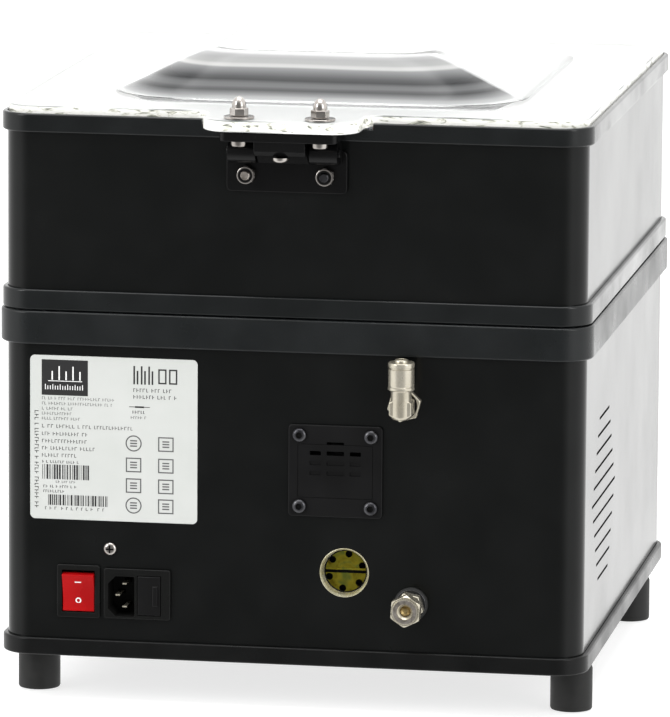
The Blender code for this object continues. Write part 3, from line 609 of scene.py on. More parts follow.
def repaint(obj, material, chosen):
    """Gives another material to the faces that the test picks by centre, in mm, and normal."""
    obj.data.materials.append(material)
    index = len(obj.data.materials) - 1
    for polygon in obj.data.polygons:
        if chosen(polygon.center / MM, polygon.normal):
            polygon.material_index = index


def apart(spot, centre):
    """Distance of a place from a centre line that runs along Y."""
    return math.hypot(spot.x - centre[0], spot.z - centre[1])


# ---- casing


def body_outline(outset):
    return rounded(-HALF_W - outset, HALF_W + outset, FRONT - outset, REAR + outset, CORNER + outset)


def rim(outer, z0, z1, edge, inner):
    """Levels of a trim: an outer wall with rolled edges, then (outset, z) pairs down its inner side."""
    roll = rolled(edge, 4)
    levels = [(outer - d, z0 + up) for d, up in roll] + [(outer - d, z1 - up) for d, up in reversed(roll)]
    return [(body_outline(outset), z) for outset, z in levels + inner]


SNUG = 0.25  # gap between a trim and the casing inside it
LEDGE = -6.0  # how far a trim's ledge reaches in over the casing's edge


def trims():
    z0, z1 = low("base_tray").z, high("base_tray").z
    solid("tray", stack(rim(3.0, z0, z1, 1.3, [(SNUG, z1), (SNUG, z0 + 3.0)])), TRAY, "base_tray")

    z0, z1 = low("lower_trim").z, high("lower_trim").z
    inner = [(LEDGE, z1), (LEDGE, z1 - 4.7), (SNUG, z1 - 4.7), (SNUG, z0)]
    solid("joint_trim_lower", stack(rim(4.0, z0, z1, 1.4, inner), True), TRIM, "lower_trim")

    z0, z1 = low("upper_trim").z, high("upper_trim").z
    inner = [(SNUG, z1), (SNUG, z0 + 4.1), (LEDGE, z0 + 4.1), (LEDGE, z0)]
    solid("joint_trim_upper", stack(rim(3.0, z0, z1, 1.4, inner), True), TRIM_SMOOTH, "upper_trim")

    z0, z1 = low("top_trim").z, high("top_trim").z
    deck = low("top_deck").z - 0.3
    inner = [(SNUG, z1), (SNUG, deck), (LEDGE, deck), (LEDGE, z0 + 1.4), (SNUG, z0 + 1.4), (SNUG, z0)]
    trim = mesh_object("lid_trim", stack(rim(3.0, z0, z1, 1.3, inner), True))
    cut(trim, box(HINGE_X - 51, HINGE_X + 51, REAR - 1, REAR + 8, LID_FOOT - 1.0, z1 + 4))
    finished(trim, TRIM_SMOOTH, "top_trim", soften=0.25)


def shell(name, node, *holes):
    """Bent sheet wall of a casing, with its holes."""
    z0, z1 = low(node).z, high(node).z
    walls = ((0.0, z0), (0.0, z1), (-WALL, z1), (-WALL, z0))
    obj = mesh_object(name, stack([(body_outline(outset), z) for outset, z in walls], True))
    cut(obj, *holes)
    finished(obj, PAINT, node, soften=0.22)


def louvres():
    """Slots in rows of changing length, in the wall on the -X side."""
    shapes = []
    for row, length in enumerate((44, 57, 68, 79, 90, 104, 93, 81, 71, 60, 46)):
        slot = pad((84.0, 168.15 - 9.75 * row), length / 2, 0.85, 0.84, 4)
        shapes.append(prism(slot, "X", -HALF_W - 4, -HALF_W + 6))
    return merge(shapes)


def rear_holes():
    y0, y1 = REAR - 6, REAR + 4
    return merge([
        rod(FAN, "Y", 22.5, y0, y1, 64),
        rod(PORT, "Y", 15.0, y0, y1, 72),
        rod(ELBOW, "Y", 6.1, y0, y1),
        rod(DRAIN, "Y", 8.5, y0, y1),
        rod(EARTH, "Y", 2.6, y0, y1, 20),
        box(75.2, 112.0, y0, y1, 51.3, 79.0),
        block(SWITCH, 11.6, 14.1, y0, y1),
        rods(SCREWS, "Y", 2.6, y0, y1, 20),
    ])


def front_holes():
    y0, y1 = FRONT - 7, FRONT + 6
    return merge([
        rods((TIMER, HEAT), "Y", 4.2, y0, y1, 24),
        rod(DEGAS, "Y", 6.1, y0, y1, 24),
        block(WINDOW, 38.3, 13.3, y0, y1),
    ])


def feet():
    profile = [(11.2, 0.0), (12.1, 0.25), (12.6, 1.1), (12.6, 25.0), (12.3, 25.9), (11.6, 26.6)]
    dimple = [(5.5, -1.0), (5.5, 1.2), (4.6, 1.6)]
    for end in ("front", "rear"):
        for side in SIDES:
            node = f"foot_{end}_{side}"
            centre = middle(node).xy
            foot = mesh_object(f"rubber_{node}", turned(centre, "Z", profile, 56))
            cut(foot, turned(centre, "Z", dimple, 32))
            finished(foot, RUBBER, node)


def casing():
    trims()
    shell("casing_lower", "lower_casing", louvres(), rear_holes(), front_holes())
    shell("casing_upper", "upper_casing", rods(STUDS, "Y", 3.3, REAR - 6, REAR + 4, 24))
    feet()


# ---- tank and lid


def tank_outline(outset):
    x, y0, y1, radius = 134.0, -157.5, 140.5, 25.0
    return rounded(-x - outset, x + outset, y0 - outset, y1 + outset, radius + outset, 14)


def tank_levels(*pairs):
    return [(tank_outline(outset), z) for outset, z in pairs]


def tank_and_deck():
    z0, z1 = low("top_deck").z, high("top_deck").z
    outer = rounded(-HALF_W + 0.1, HALF_W - 0.1, FRONT + 0.1, REAR - 0.1, CORNER - 0.1, 14)
    hole = tank_levels((0.5, z1), (0.15, z1 - 0.15), (0.0, z1 - 0.5), (0.0, z0))
    solid("deck", stack([(outer, z0), (outer, z1)] + hole, True), TANK_STEEL, "top_deck")

    floor, lip = low("tank").z, high("tank").z
    outer = beyond(floor, (-9.0, 0.0), (-4.5, 0.7), (-1.3, 3.4), (1.2, 9.0))
    flange = beyond(lip, (1.2, -1.2), (9.0, -1.2), (9.0, 0.0), (0.8, 0.0), (0.0, -0.8))
    inner = beyond(floor, (0.0, 10.0), (-0.8, 6.6), (-2.6, 3.9), (-5.2, 2.0), (-9.0, 1.2))
    solid("bath", stack(tank_levels(*outer, *flange, *inner)), TANK_STEEL, "tank", sharp=50.0)

    z0, z1 = low("lid_gasket").z, high("lid_gasket").z
    section = ((8.0, z0), (16.0, z0), (15.9, z1 - 1.6), (15.0, z1 - 0.4), (13.6, z1), (10.4, z1))
    section += ((9.0, z1 - 0.4), (8.1, z1 - 1.6))
    solid("seal", stack(tank_levels(*section), True), SILICONE, "lid_gasket", sharp=60.0)


def lid_outline():
    x, front, rear, r = HALF_W - 0.3, FRONT + 0.3, REAR - 3.3, CORNER - 0.3
    tip, half, tip_r, root_r = high("lid").y, 46.5, 17.0, 12.0
    left, right = HINGE_X - half, HINGE_X + half
    return (
        arc(x - r, front + r, r, -90, 0, 14)
        + arc(x - r, rear - r, r, 0, 90, 14)
        + arc(right + root_r, rear + root_r, root_r, 270, 180, 8)
        + arc(right - tip_r, tip - tip_r, tip_r, 0, 90, 14)
        + arc(left + tip_r, tip - tip_r, tip_r, 90, 180, 14)
        + arc(left - root_r, rear + root_r, root_r, 0, -90, 8)
        + arc(-x + r, rear - r, r, 90, 180, 14)
        + arc(-x + r, front + r, r, 180, 270, 14)
    )


SIDE_RUN, END_RUN = 62.0, 34.0  # how far the dome's sides and ends lean in, from foot to flat top


def dome_loop(share, extra=0.0):
    dx, dy = SIDE_RUN * share + extra, END_RUN * share + extra
    return rounded(-128.0 + dx, 128.0 - dx, -166.0 + dy, 131.5 - dy, 52.0 - 22.0 * share - extra, 20)


def rise_share(share):
    """Height of the dome's slope, with a wide fillet at its foot and a tighter one at its brow."""
    foot = ((0.0, 0.0), (0.07, 0.015), (0.16, 0.08), (0.3, 0.24))
    brow = ((0.7, 0.76), (0.84, 0.92), (0.93, 0.985), (1.0, 1.0))
    points = foot + brow
    for (s0, h0), (s1, h1) in zip(points, points[1:]):
        if share <= s1:
            return h0 + (h1 - h0) * (share - s0) / (s1 - s0)
    return 1.0


def smooth_rise(share, reach=0.09):
    """rise_share averaged over a short stretch, so that the slope has no creases."""
    samples = [max(0.0, min(1.0, share + reach * (i - 8) / 8)) for i in range(17)]
    value = sum(rise_share(s) for s in samples) / 17
    value = value * min(1.0, share / 0.1) + rise_share(share) * max(0.0, 1 - share / 0.1)
    return min(1.0, value)


def lid():
    rise = LID_TOP - LID_PLATE
    shares = [i / 22 for i in range(1, 23)]
    plate = mesh_object("clear_lid", prism(lid_outline(), "Z", LID_FOOT, LID_PLATE, 0.8, 4))
    dome = [(dome_loop(0.0), LID_PLATE - 3.0)]
    dome += [(dome_loop(s), LID_PLATE + rise * smooth_rise(s)) for s in shares]
    join(plate, stack(dome))
    start, sheet = 0.16, 2.0
    hollow = [(dome_loop(start, sheet), LID_FOOT - 2.0)]
    hollow += [(dome_loop(s, sheet), LID_FOOT + rise * smooth_rise(s)) for s in shares if s >= start]
    cut(plate, stack(hollow), rods(CAPS, "Z", 3.4, LID_FOOT - 2, LID_PLATE + 2, 32))
    finished(plate, ACRYLIC, "lid", body="lid_assembly", sharp=28.0)

    def at_edge(spot, normal):
        at_rim = abs(spot.x) > 150 or spot.y > REAR - 8 or spot.y < FRONT + 10
        bored = any(math.hypot(spot.x - cap.x, spot.y - cap.y) < 5.0 for cap in CAPS)
        in_plate = LID_FOOT - 0.1 < spot.z < LID_PLATE + 0.1
        return at_rim and in_plate and not bored and abs(normal.z) < 0.97

    def upright(spot, normal):
        return abs(normal.z) < 0.5 and abs(spot.z - (LID_FOOT + LID_PLATE) / 2) < 2.6

    # The plate's upright edges take the milky edge material, which has a faint painted glow.
    repaint(plate, ACRYLIC_EDGE, lambda spot, normal: at_edge(spot, normal) and upright(spot, normal))
    # Painted shade: the plate's rounded arrises take the grey streaked material.
    repaint(plate, ACRYLIC_ARRIS, lambda spot, normal: at_edge(spot, normal) and not upright(spot, normal))


# ---- hinge


def hinge():
    pin = middle("hinge_pin")
    x, axis_y, axis_z = pin
    bore = rod((axis_y, axis_z), "X", 3.3, x - 40, x + 40, 28)

    ear = [(FACE + 0.6, 328.2), (axis_y - 1.0, 329.0)] + arc(axis_y, axis_z, 7.0, -80, 90, 18)
    ear += [(FACE + 3.6, 343.0), (FACE + 3.6, 340.6), (FACE + 0.6, 340.6)]
    outline = rounded(x - 36, x + 36, 310.5, 336.0, 3.0, 8)
    plate = mesh_object("bracket", prism(outline, "Y", FACE, FACE + 4.0, 0.7))
    for x0, x1 in ((x - 32.5, x - 16.0), (x + 16.0, x + 32.5)):
        join(plate, prism(ear, "X", x0, x1))
    cut(plate, bore, rods(STUDS, "Y", 3.3, FACE - 2, FACE + 8, 28))
    finished(plate, HINGE_PAINT, "hinge_bracket", soften=0.4)

    outline = rounded(x - 35, x + 35, 188.0, 217.0, 4.0, 8)
    leaf = mesh_object("leaf", prism(outline, "Z", 344.0, high("hinge_leaf").z, 0.6))
    knuckle = [(189.2, 346.0)] + arc(axis_y, axis_z, 6.8, 165, 280, 16)
    knuckle += [(203.0, 334.6), (208.5, 335.0), (211.5, 338.0), (212.5, 346.0)]
    join(leaf, prism(knuckle, "X", x - 15.2, x + 15.2))
    cut(leaf, bore, rods(CAPS, "Z", 3.3, 340, 352, 28))
    finished(leaf, HINGE_PAINT, "hinge_leaf", body="lid_assembly", soften=0.4)
    head = [(5.0, 334.2), (5.0, 333.0), (4.6, 332.0), (3.4, 331.1), (1.6, 330.85)]
    solid("leaf_screw", turned((x, 206.3), "Z", head, 40), STEEL, body="lid_assembly")

    rounds = beyond(x, (2.0, -34.0), (2.7, -33.7), (3.0, -33.0), (3.0, 33.0), (2.7, 33.7), (2.0, 34.0))
    solid("pivot_pin", turned((axis_y, axis_z), "X", rounds, 32), HINGE_PAINT, "hinge_pin")
    for side, stud, cap in zip(SIDES, STUDS, CAPS):
        bracket_nut(side, stud)
        lid_fastener(side, cap)


def threaded(centre, axis, radius, start, end):
    """Screw shank with its thread as close rings."""
    pitch, depth = 1.0, 0.32
    profile = [(radius - 0.5, start)]
    place = start + 0.3
    while place + pitch < end - 0.6:
        profile += [(radius - depth, place), (radius, place + 0.45 * pitch), (radius, place + 0.55 * pitch)]
        place += pitch
    profile += [(radius - depth, place), (radius - 0.3, end - 0.4), (radius - 0.7, end)]
    return turned(centre, axis, profile, 40)


def bracket_nut(side, centre):
    """Lock nut with a nylon ring on a bolt through the casing wall."""
    start = FACE + 4.3
    nut = mesh_object(f"bracket_nut_{side}", prism(hexagon(centre, 10.6, 90), "Y", start, start + 5.0, 0.5))
    cone = beyond(start, (5.6, -1.0), (6.05, 0.6), (6.05, 3.0), (5.3, 4.7), (5.2, 6.0))
    combine(nut, "INTERSECT", turned(centre, "Y", cone, 64))
    collar = beyond(start, (5.2, 2.0), (5.2, 6.1), (5.0, 6.6), (4.6, 6.8))
    join(nut, turned(centre, "Y", collar))
    bore = beyond(start, (3.15, -2.0), (3.15, 5.4), (4.25, 5.4), (4.25, 10.0))
    cut(nut, turned(centre, "Y", bore, 40))
    finished(nut, STEEL, f"hinge_nut_{side}", soften=0.15)
    insert = beyond(start, (4.2, 5.5), (4.2, 6.2), (4.1, 6.3), (3.1, 6.3), (3.1, 5.5))
    solid(f"nylon_ring_{side}", turned(centre, "Y", insert, 40, True), BLACK)
    bolt = mesh_object(f"bracket_bolt_{side}", threaded(centre, "Y", 2.9, REAR - 5.6, start + 8.1))
    head = beyond(REAR, (3.6, -5.9), (4.8, -5.4), (5.2, -4.6), (5.2, -2.3))
    join(bolt, turned(centre, "Y", head, 32))
    finished(bolt, FACED_NICKEL if side == "right" else GREY_STEEL, f"hinge_bolt_{side}")


def lid_fastener(side, centre):
    """Bolt up through the lid's tab, with its washer and cap nut."""
    bolt = mesh_object(f"tab_bolt_{side}", threaded(centre, "Z", 2.9, 342.0, 366.0))
    head = [(2.6, 340.4), (3.9, 340.55), (4.7, 341.1), (5.0, 342.0), (5.0, 343.7)]
    join(bolt, turned(centre, "Z", head))
    finished(bolt, STEEL, f"lid_bolt_{side}", body="lid_assembly")
    section = [(8.8, 357.2), (9.0, 357.35), (9.0, 358.35), (8.85, 358.5), (3.5, 358.5), (3.4, 358.4)]
    washer = turned(centre, "Z", section + [(3.4, 357.3), (3.5, 357.2)], 64, True)
    solid(f"tab_washer_{side}", washer, STEEL, f"lid_washer_{side}", body="lid_assembly")
    nut = mesh_object(f"acorn_nut_{side}", prism(hexagon(centre, 9.6, 15), "Z", 358.8, 363.4, 0.5))
    quarter = [math.radians(10 * i) for i in range(1, 9)]
    dome = [(4.2, 361.0), (4.2, 364.4)]
    dome += [(4.2 * math.cos(a), 364.7 + 5.4 * math.sin(a)) for a in quarter] + [(0.3, 370.15)]
    join(nut, turned(centre, "Z", dome))
    cut(nut, rod(centre, "Z", 3.15, 357.0, 366.4, 32))
    finished(nut, STEEL, f"cap_nut_{side}", body="lid_assembly", soften=0.12, sharp=40.0)


# ---- rear fittings


def pan_screw(name, centre, face, radius, height, drive, material, node):
    """Pan-head screw facing +Y, with a cross or a hexagon socket."""
    curve = [math.radians(a) for a in range(0, 85, 12)]
    head = [(radius * (0.35 + 0.65 * math.cos(a)), height * (0.25 + 0.75 * math.sin(a))) for a in curve]
    screw = mesh_object(name, turned(centre, "Y", beyond(face, (radius, 0.0), *head), 40))
    join(screw, rod(centre, "Y", 2.0, low(node).y, face + 0.4, 20))
    top, deep = face + height + 1, face + height - 1.3
    if drive == "cross":
        x, z = centre
        middle_pit = prism([(x - 1.1, z), (x, z - 1.1), (x + 1.1, z), (x, z + 1.1)], "Y", deep - 0.2, top)
        cut(screw, block(centre, 2.4, 0.5, deep, top), block(centre, 0.5, 2.4, deep, top), middle_pit)
    else:
        cut(screw, prism(hexagon(centre, 3.5, 10), "Y", deep, top))
    finished(screw, material, node, soften=0.12)
    # Painted shade: the socket's floor and lower walls take the near-black recess material.
    repaint(screw, PAINTED_SHADE, lambda spot, _: apart(spot, centre) < 2.45 and deep - 0.5 < spot.y < top - 1.4)


def vent():
    x, _ = FAN
    top = FACE + 2.2
    cover = mesh_object("vent_plate", prism(pad(FAN, 28.2, 27.6, 2.5), "Y", FACE, top, 0.8, 4))
    slots = [rounded(x - 5.2, x + 5.2, 160.7, 162.3, 0.5, 4)]
    for level in (155.5, 149.5, 143.5):
        slots += [pad((x, level), 5.2, 1.25, 0.5, 4)]
        slots += [pad((x + step, level), 3.3, 1.25, 0.5, 4) for step in (-12.0, 12.0)]
    outer, inner = pad(FAN, 22.6, 16.2, 1.0, 4), pad(FAN, 22.2, 15.8, 0.8, 4)
    groove = stack([(outer, top - 0.35), (outer, top + 1), (inner, top + 1), (inner, top - 0.35)], True, "Y")
    openings = merge([prism(slot, "Y", FACE - 2, top + 3) for slot in slots])
    cut(cover, openings, groove, rods(SCREWS, "Y", 2.5, FACE - 2, top + 3, 24))
    finished(cover, BLACK, "vent_cover", soften=0.15)
    solid("vent_screen", box(x - 16.5, x + 16.5, FACE + 1.1, FACE + 1.5, 141.0, 151.5), BLACK)
    for i, centre in enumerate(SCREWS, 1):
        pan_screw(f"cover_screw_{i}", centre, top + 0.3, 4.3, 2.6, "hexagon", GREY_STEEL, f"vent_screw_{i}")


def inlet():
    """Mains inlet with a chamfered recess and its pins, and the fuse drawer beside it."""
    top = FACE + 2.4
    body = mesh_object("mains_inlet", prism(pad(INLET, 20.2, 15.2, 1.5), "Y", FACE, top, 0.6))
    join(body, box(75.6, 111.6, 154.0, FACE + 1.0, 51.7, 78.6))
    left, right, bottom, upper, chamfer = 93.5, 109.5, 52.4, 76.6, 4.6
    recess = arc(left + 1, bottom + 1, 1.0, 180, 270, 4)
    recess += [(right - chamfer, bottom), (right, bottom + chamfer)]
    recess += [(right, upper - chamfer), (right - chamfer, upper)]
    recess += arc(left + 1, upper - 1, 1.0, 90, 180, 4)
    cut(body, prism(recess, "Y", 168.0, FACE + 8), box(77.4, 91.9, 158.0, FACE + 8, 53.2, 77.4))
    outer, inner = inset(recess, -0.9), inset(recess, -0.1)
    lip = [(outer, top - 0.5), (outer, top + 0.3), (inner, top + 0.3), (inner, top - 0.5)]
    join(body, stack(lip, True, "Y"))
    names = ("line", "earth", "neutral")
    pins = [middle(f"inlet_pin_{name}").xz for name in names]
    cut(body, merge([block(pin, 2.3, 1.3, 150, 172) for pin in pins]))
    finished(body, BLACK_GLOSS, "inlet_body", soften=0.15)

    def in_recess(spot, _):
        across = left - 0.2 < spot.x < right + 0.2 and abs(spot.z - (bottom + upper) / 2) < 12.3
        return across and FACE - 40.0 < spot.y < FACE + 1.2

    # Painted shade: the inlet's recess floor and its walls take the near-black recess material.
    repaint(body, PAINTED_SHADE, in_recess)
    for name, pin in zip(names, pins):
        blade = prism(pad(pin, 1.4, 0.5, 0.3, 4), "Y", 150.0, 180.5, 0.3)
        solid(f"pin_{name}", blade, NICKEL, f"inlet_pin_{name}")

    drawer = mesh_object("fuse_carrier", box(77.8, 91.5, 161.0, FACE + 2.8, 53.6, 77.0))
    join(drawer, box(79.4, 82.2, FACE + 2.0, FACE + 3.9, 59.5, 71.1))
    cut(drawer, box(80.0, 89.5, 164.0, 177.5, 56.5, 80.0))
    finished(drawer, BLACK, "fuse_drawer", body="fuse_tray", soften=0.35)
    fuse = [(2.2, 57.6), (2.5, 57.9), (2.5, 62.0), (2.3, 62.2)]
    fuse += [(2.3, 71.4), (2.5, 71.6), (2.5, 75.6), (2.2, 75.9)]
    solid("fuse", turned((84.7, 168.5), "Z", fuse, 28), NICKEL, body="fuse_tray")


def switch():
    bezel = mesh_object("rocker_bezel", prism(pad(SWITCH, 13.0, 16.0, 1.5), "Y", FACE, FACE + 1.8, 0.6))
    join(bezel, block(SWITCH, 11.2, 13.8, 160.0, FACE + 1.0))
    cut(bezel, block(SWITCH, 10.0, 12.7, 168.0, FACE + 8))
    finished(bezel, BLACK_GLOSS, "switch_bezel", soften=0.2)

    pivot = Vector((SWITCH.x, FACE - 3.5, SWITCH.y))
    tilt = Matrix.Rotation(math.radians(-8.0), 3, "X")
    rise = [(5.1, 0.0), (5.2, 2.6), (5.5, 5.6), (6.0, 8.6), (6.6, 11.4)]
    dish = [(y, -z) for y, z in rise[:0:-1]] + rise
    profile = [(-2.6, -9.5), (1.0, -11.4)] + dish + [(1.0, 11.4), (-2.6, 9.5)]

    def tilted(shape):
        return [tuple(tilt @ Vector(v) + pivot) for v in shape[0]], shape[1]

    body = tilted(prism(profile, "X", -9.6, 9.6))
    solid("red_rocker", body, RED, "rocker", body="power_rocker", soften=0.45, sharp=40.0)
    stroke = prism(rounded(-2.0, 2.0, 6.3, 7.0, 0.34, 5), "Y", 5.0, 5.72)
    ring = turned((0.0, -4.9), "Y", [(1.75, 5.0), (1.75, 5.62), (1.05, 5.62), (1.05, 5.0)], 36, True)
    solid("rocker_marks", tilted(merge([stroke, ring])), WHITE_PRINT, body="power_rocker")
    pan_screw("earth_stud", EARTH, FACE, 4.0, 2.5, "cross", STEEL, "earth_screw")


def port():
    """Recessed exhaust port: slotted disc with six holes and a pale rim, with painted shade in the holes, on
    the slot floor and in the gap between disc and rim.
    """
    x, z = PORT
    disc = [(8.0, 157.0), (8.0, 170.6), (13.2, 170.6), (14.0, 171.4)]
    disc += [(14.0, 175.6), (13.85, 176.0), (13.4, 176.2)]
    plug = mesh_object("port_disc", turned(PORT, "Y", disc, 72))
    turns = [math.radians(20 + 60 * k) for k in range(6)]
    spots = [(x - 10.5 * math.cos(a), z + 10.5 * math.sin(a)) for a in turns]
    holes = rods(spots, "Y", 2.1, 172.0, 180.0, 28)
    cut(plug, holes, box(x - 20, x + 20, 174.2, 180, z - 1.1, z + 0.7))
    finished(plug, ZINC, "exhaust_plug", soften=0.25)
    # Painted shade: the floors and walls of the six holes and of the slot take the near-black recess
    # material.
    repaint(plug, PAINTED_SHADE, lambda spot, _: 171.5 < spot.y < 175.9 and apart(spot, PORT) < 12.9)
    ledge = prism(rounded(x - 11.6, x + 11.6, z + 0.9, z + 2.0, 0.5, 4), "Y", 175.9, 176.9, 0.3)
    solid("port_slot_ledge", ledge, ZINC)
    rim_ring = [(14.85, 176.4)]
    rim_ring += beyond(REAR, (14.85, 0.2), (14.6, 0.45), (14.3, 0.45), (14.1, 0.1))
    rim_ring += beyond(REAR, (13.6, -0.7), (13.75, -1.1)) + [(13.1, 177.4), (12.9, 177.0), (12.9, 176.4)]
    solid("port_rim", turned(PORT, "Y", rim_ring, 72, True), PORT_RIM, sharp=50.0)
    # Painted shade: a thin near-black ring in the gap between disc and rim.
    gap = [(13.3, 176.25), (13.3, 176.38), (12.2, 176.38), (12.2, 176.25)]
    solid("port_gap_shade", turned(PORT, "Y", gap, 72, True), PAINTED_SHADE)


def elbow():
    x, z = ELBOW
    y = middle("elbow_collar").y
    stem = mesh_object("elbow_nut", prism(hexagon(ELBOW, 18, 45), "Y", FACE, FACE + 4.6, 0.8))
    join(stem, rod(ELBOW, "Y", 5.8, 168.0, FACE + 1.0), rod(ELBOW, "Y", 4.0, FACE + 3.0, 192.4))
    dish = beyond(FACE, (5.0, 3.6), (7.9, 3.6), (7.9, 6.0), (5.0, 6.0))
    cut(stem, rod(ELBOW, "Y", 2.4, 160.0, 200.0, 24), turned(ELBOW, "Y", dish, 48, True))
    finished(stem, NICKEL, "elbow_stem", soften=0.15)
    # Painted shade: a ring on the floor of the dish round the stem takes the near-black recess material.
    repaint(stem, PAINTED_SHADE, lambda spot, _: FACE + 3.4 < spot.y < FACE + 3.8 and apart(spot, ELBOW) > 5.4)

    body = mesh_object("elbow_fitting", prism(hexagon(ELBOW, 13.4, 90), "Y", FACE + 4.9, 200.6, 0.9, 4))
    barrel = [(3.4, 179.4), (4.8, 179.8), (5.7, 180.8), (6.1, 182.0), (6.1, 196.4), (6.4, 197.0)]
    barrel += [(7.5, 197.3), (7.85, 197.7), (7.85, 199.2), (7.5, 199.5), (7.5, 200.0), (7.7, 200.3)]
    barrel += [(7.7, 209.8), (7.2, 210.1), (7.2, 210.8), (7.85, 211.1)]
    barrel += [(7.85, 213.1), (7.7, 213.6), (7.3, 213.9)]
    join(body, turned((x, y), "Z", barrel, 56))
    bore = [(3.0, z), (3.0, 206.0), (4.6, 206.0), (4.6, 216.0)]
    cut(body, rod(ELBOW, "Y", 4.3, FACE, 193.0, 32), turned((x, y), "Z", bore, 40))
    finished(body, NICKEL, "elbow_body", body="elbow", soften=0.15, sharp=40.0)
    collar = [(4.3, 207.2), (4.3, 214.2), (3.9, 215.1), (3.6, 215.4)]
    collar += [(3.3, 215.4), (3.15, 215.2), (3.1, 207.2)]
    sleeve = turned((x, y), "Z", collar, 48, True)
    solid("tube_release", sleeve, NICKEL, "elbow_collar", body="release_collar")


def drain():
    ring = [(6.95, 176.3), (10.0, 176.3), (10.0, REAR - 2.3), (8.2, REAR - 2.3), (8.2, FACE), (10.2, FACE)]
    ring += beyond(FACE, (10.2, 1.3), (9.9, 1.9), (9.2, 2.35), (8.4, 2.4), (6.95, 2.4))
    solid("drain_seal", turned(DRAIN, "Y", ring, 56, True), RUBBER, "drain_grommet")
    fitting = mesh_object("drain_connector", prism(hexagon(DRAIN, 17, 34), "Y", 197.2, 205.4, 0.4, 3))
    chamfer = [(8.9, 196.5), (9.9, 198.0), (9.9, 204.0), (8.5, 205.3), (8.4, 206.0)]
    combine(fitting, "INTERSECT", turned(DRAIN, "Y", chamfer, 64))
    face = [(7.9, 204.0), (7.9, 206.0), (7.6, 206.6), (7.1, 206.8)]
    rear_nut = prism(hexagon(DRAIN, 16, 12), "Y", 188.0, 194.6, 0.8)
    join(fitting, rod(DRAIN, "Y", 6.5, 160.0, 200.0), rear_nut, turned(DRAIN, "Y", face, 64))
    mouth = [(3.3, 150.0), (3.3, 204.2), (3.8, 204.8), (4.7, 205.6), (4.7, 206.2), (5.2, 210.0)]
    cut(fitting, turned(DRAIN, "Y", mouth))
    finished(fitting, NICKEL, "drain_fitting", soften=0.15, sharp=40.0)
    repaint(fitting, FACED_NICKEL, lambda spot, normal: normal.y > 0.95 and spot.y > 206.0)
    valve = [(3.25, 200.0), (3.25, 203.4), (2.9, 203.7), (2.5, 203.2), (1.6, 202.6), (0.6, 202.9)]
    solid("drain_valve", turned(DRAIN, "Y", valve, 40), BORE)
    edge = beyond(FACE, (9.0, 2.2), (9.0, 2.7), (8.85, 2.8), (8.7, 2.7), (8.7, 2.2))
    solid("drain_seal_ring", turned(DRAIN, "Y", edge, 56, True), GREY_STEEL)


# ---- label

LABEL_LEFT, LABEL_TOP = high("rating_label").x, high("rating_label").z
LABEL_FACE = high("rating_label").y
INK = (LABEL_FACE - 0.05, LABEL_FACE + 0.04)  # the film is printed from just inside it to just above it


def bar(x0, x1, z0, z1, lift=0.0):
    """Flat printed mark on the label: x from its left edge and z from its top edge, as seen from behind."""
    return box(LABEL_LEFT - x1, LABEL_LEFT - x0, INK[0], INK[1] + lift, LABEL_TOP - z1, LABEL_TOP - z0)


def ring_mark(x, z, radius, t):
    """Open round mark with a line t thick."""
    profile = [(radius, INK[0]), (radius, INK[1]), (radius - t, INK[1]), (radius - t, INK[0])]
    return turned((LABEL_LEFT - x, LABEL_TOP - z), "Y", profile, 40, True)


def frame_mark(x0, x1, z0, z1, t):
    """Open square mark with lines t thick."""
    level = [bar(x0, x1, z0, z0 + t), bar(x0, x1, z1 - t, z1)]
    return merge(level + [bar(x0, x0 + t, z0 + t, z1 - t), bar(x1 - t, x1, z0 + t, z1 - t)])


def strokes(draw, x0, x1, z0, height, weight=0.3, spacing=0.0):
    """A row of separate upright and level strokes, as dense as small print but without letters."""
    marks = []
    place = x0
    while place < x1 - 0.4 * height:
        width = height * draw.uniform(0.45, 0.7)
        marks.append(bar(place, place + weight, z0, z0 + height))
        level = z0 + draw.choice((0.0, 0.5, 1.0)) * (height - weight)
        marks.append(bar(place + weight + 0.15, place + width, level, level + weight))
        place += width + 0.32 * height + spacing
        if draw.random() < 0.15:
            place += 0.6 * height
    return marks


def bar_pattern(draw, x0, x1, z0, z1):
    """Plain upright bars of changing width, which encode nothing."""
    marks = []
    place = x0
    while place < x1:
        width = draw.choice((0.35, 0.35, 0.7, 1.05))
        marks.append(bar(place, min(x1, place + width), z0, z1))
        place += width + draw.choice((0.5, 0.5, 0.9))
    return marks


def upright_row(draw, start, end):
    """Strokes that run down the label's left edge."""
    marks = []
    place = start
    while place < end:
        length = draw.uniform(1.1, 1.7)
        marks.append(bar(2.7, 5.1, place, place + 0.4))
        across = draw.choice((2.7, 3.7, 4.7))
        marks.append(bar(across, across + 0.4, place, place + length))
        place += length + draw.choice((0.6, 0.6, 0.6, 2.0))
    return marks


SMALL_LINES = ((25.0, 52.0), (28.1, 50.5), (31.2, 25.5), (34.2, 26.0), (37.2, 30.0))
LARGE_LINES = ((41.6, 62.5), (46.2, 35.7), (50.6, 34.7), (54.9, 40.0), (59.2, 29.0))
BLOCKS = [
    (strokes, 7.4, 29.5, 63.4, 1.6, 0.34),
    (bar_pattern, 7.4, 35.7, 65.8, 74.7),
    (strokes, 15.6, 27.2, 75.5, 1.4, 0.28),
    (strokes, 8.0, 29.0, 78.3, 1.6, 0.34),
    (strokes, 8.0, 21.0, 81.2, 1.6, 0.34),
    (bar_pattern, 10.9, 47.0, 84.0, 90.4),
    (strokes, 9.0, 46.0, 91.4, 1.8, 0.36, 1.3),
    (strokes, 62.5, 85.0, 18.2, 2.2, 0.4),
    (strokes, 62.5, 90.0, 22.2, 2.2, 0.4),
]


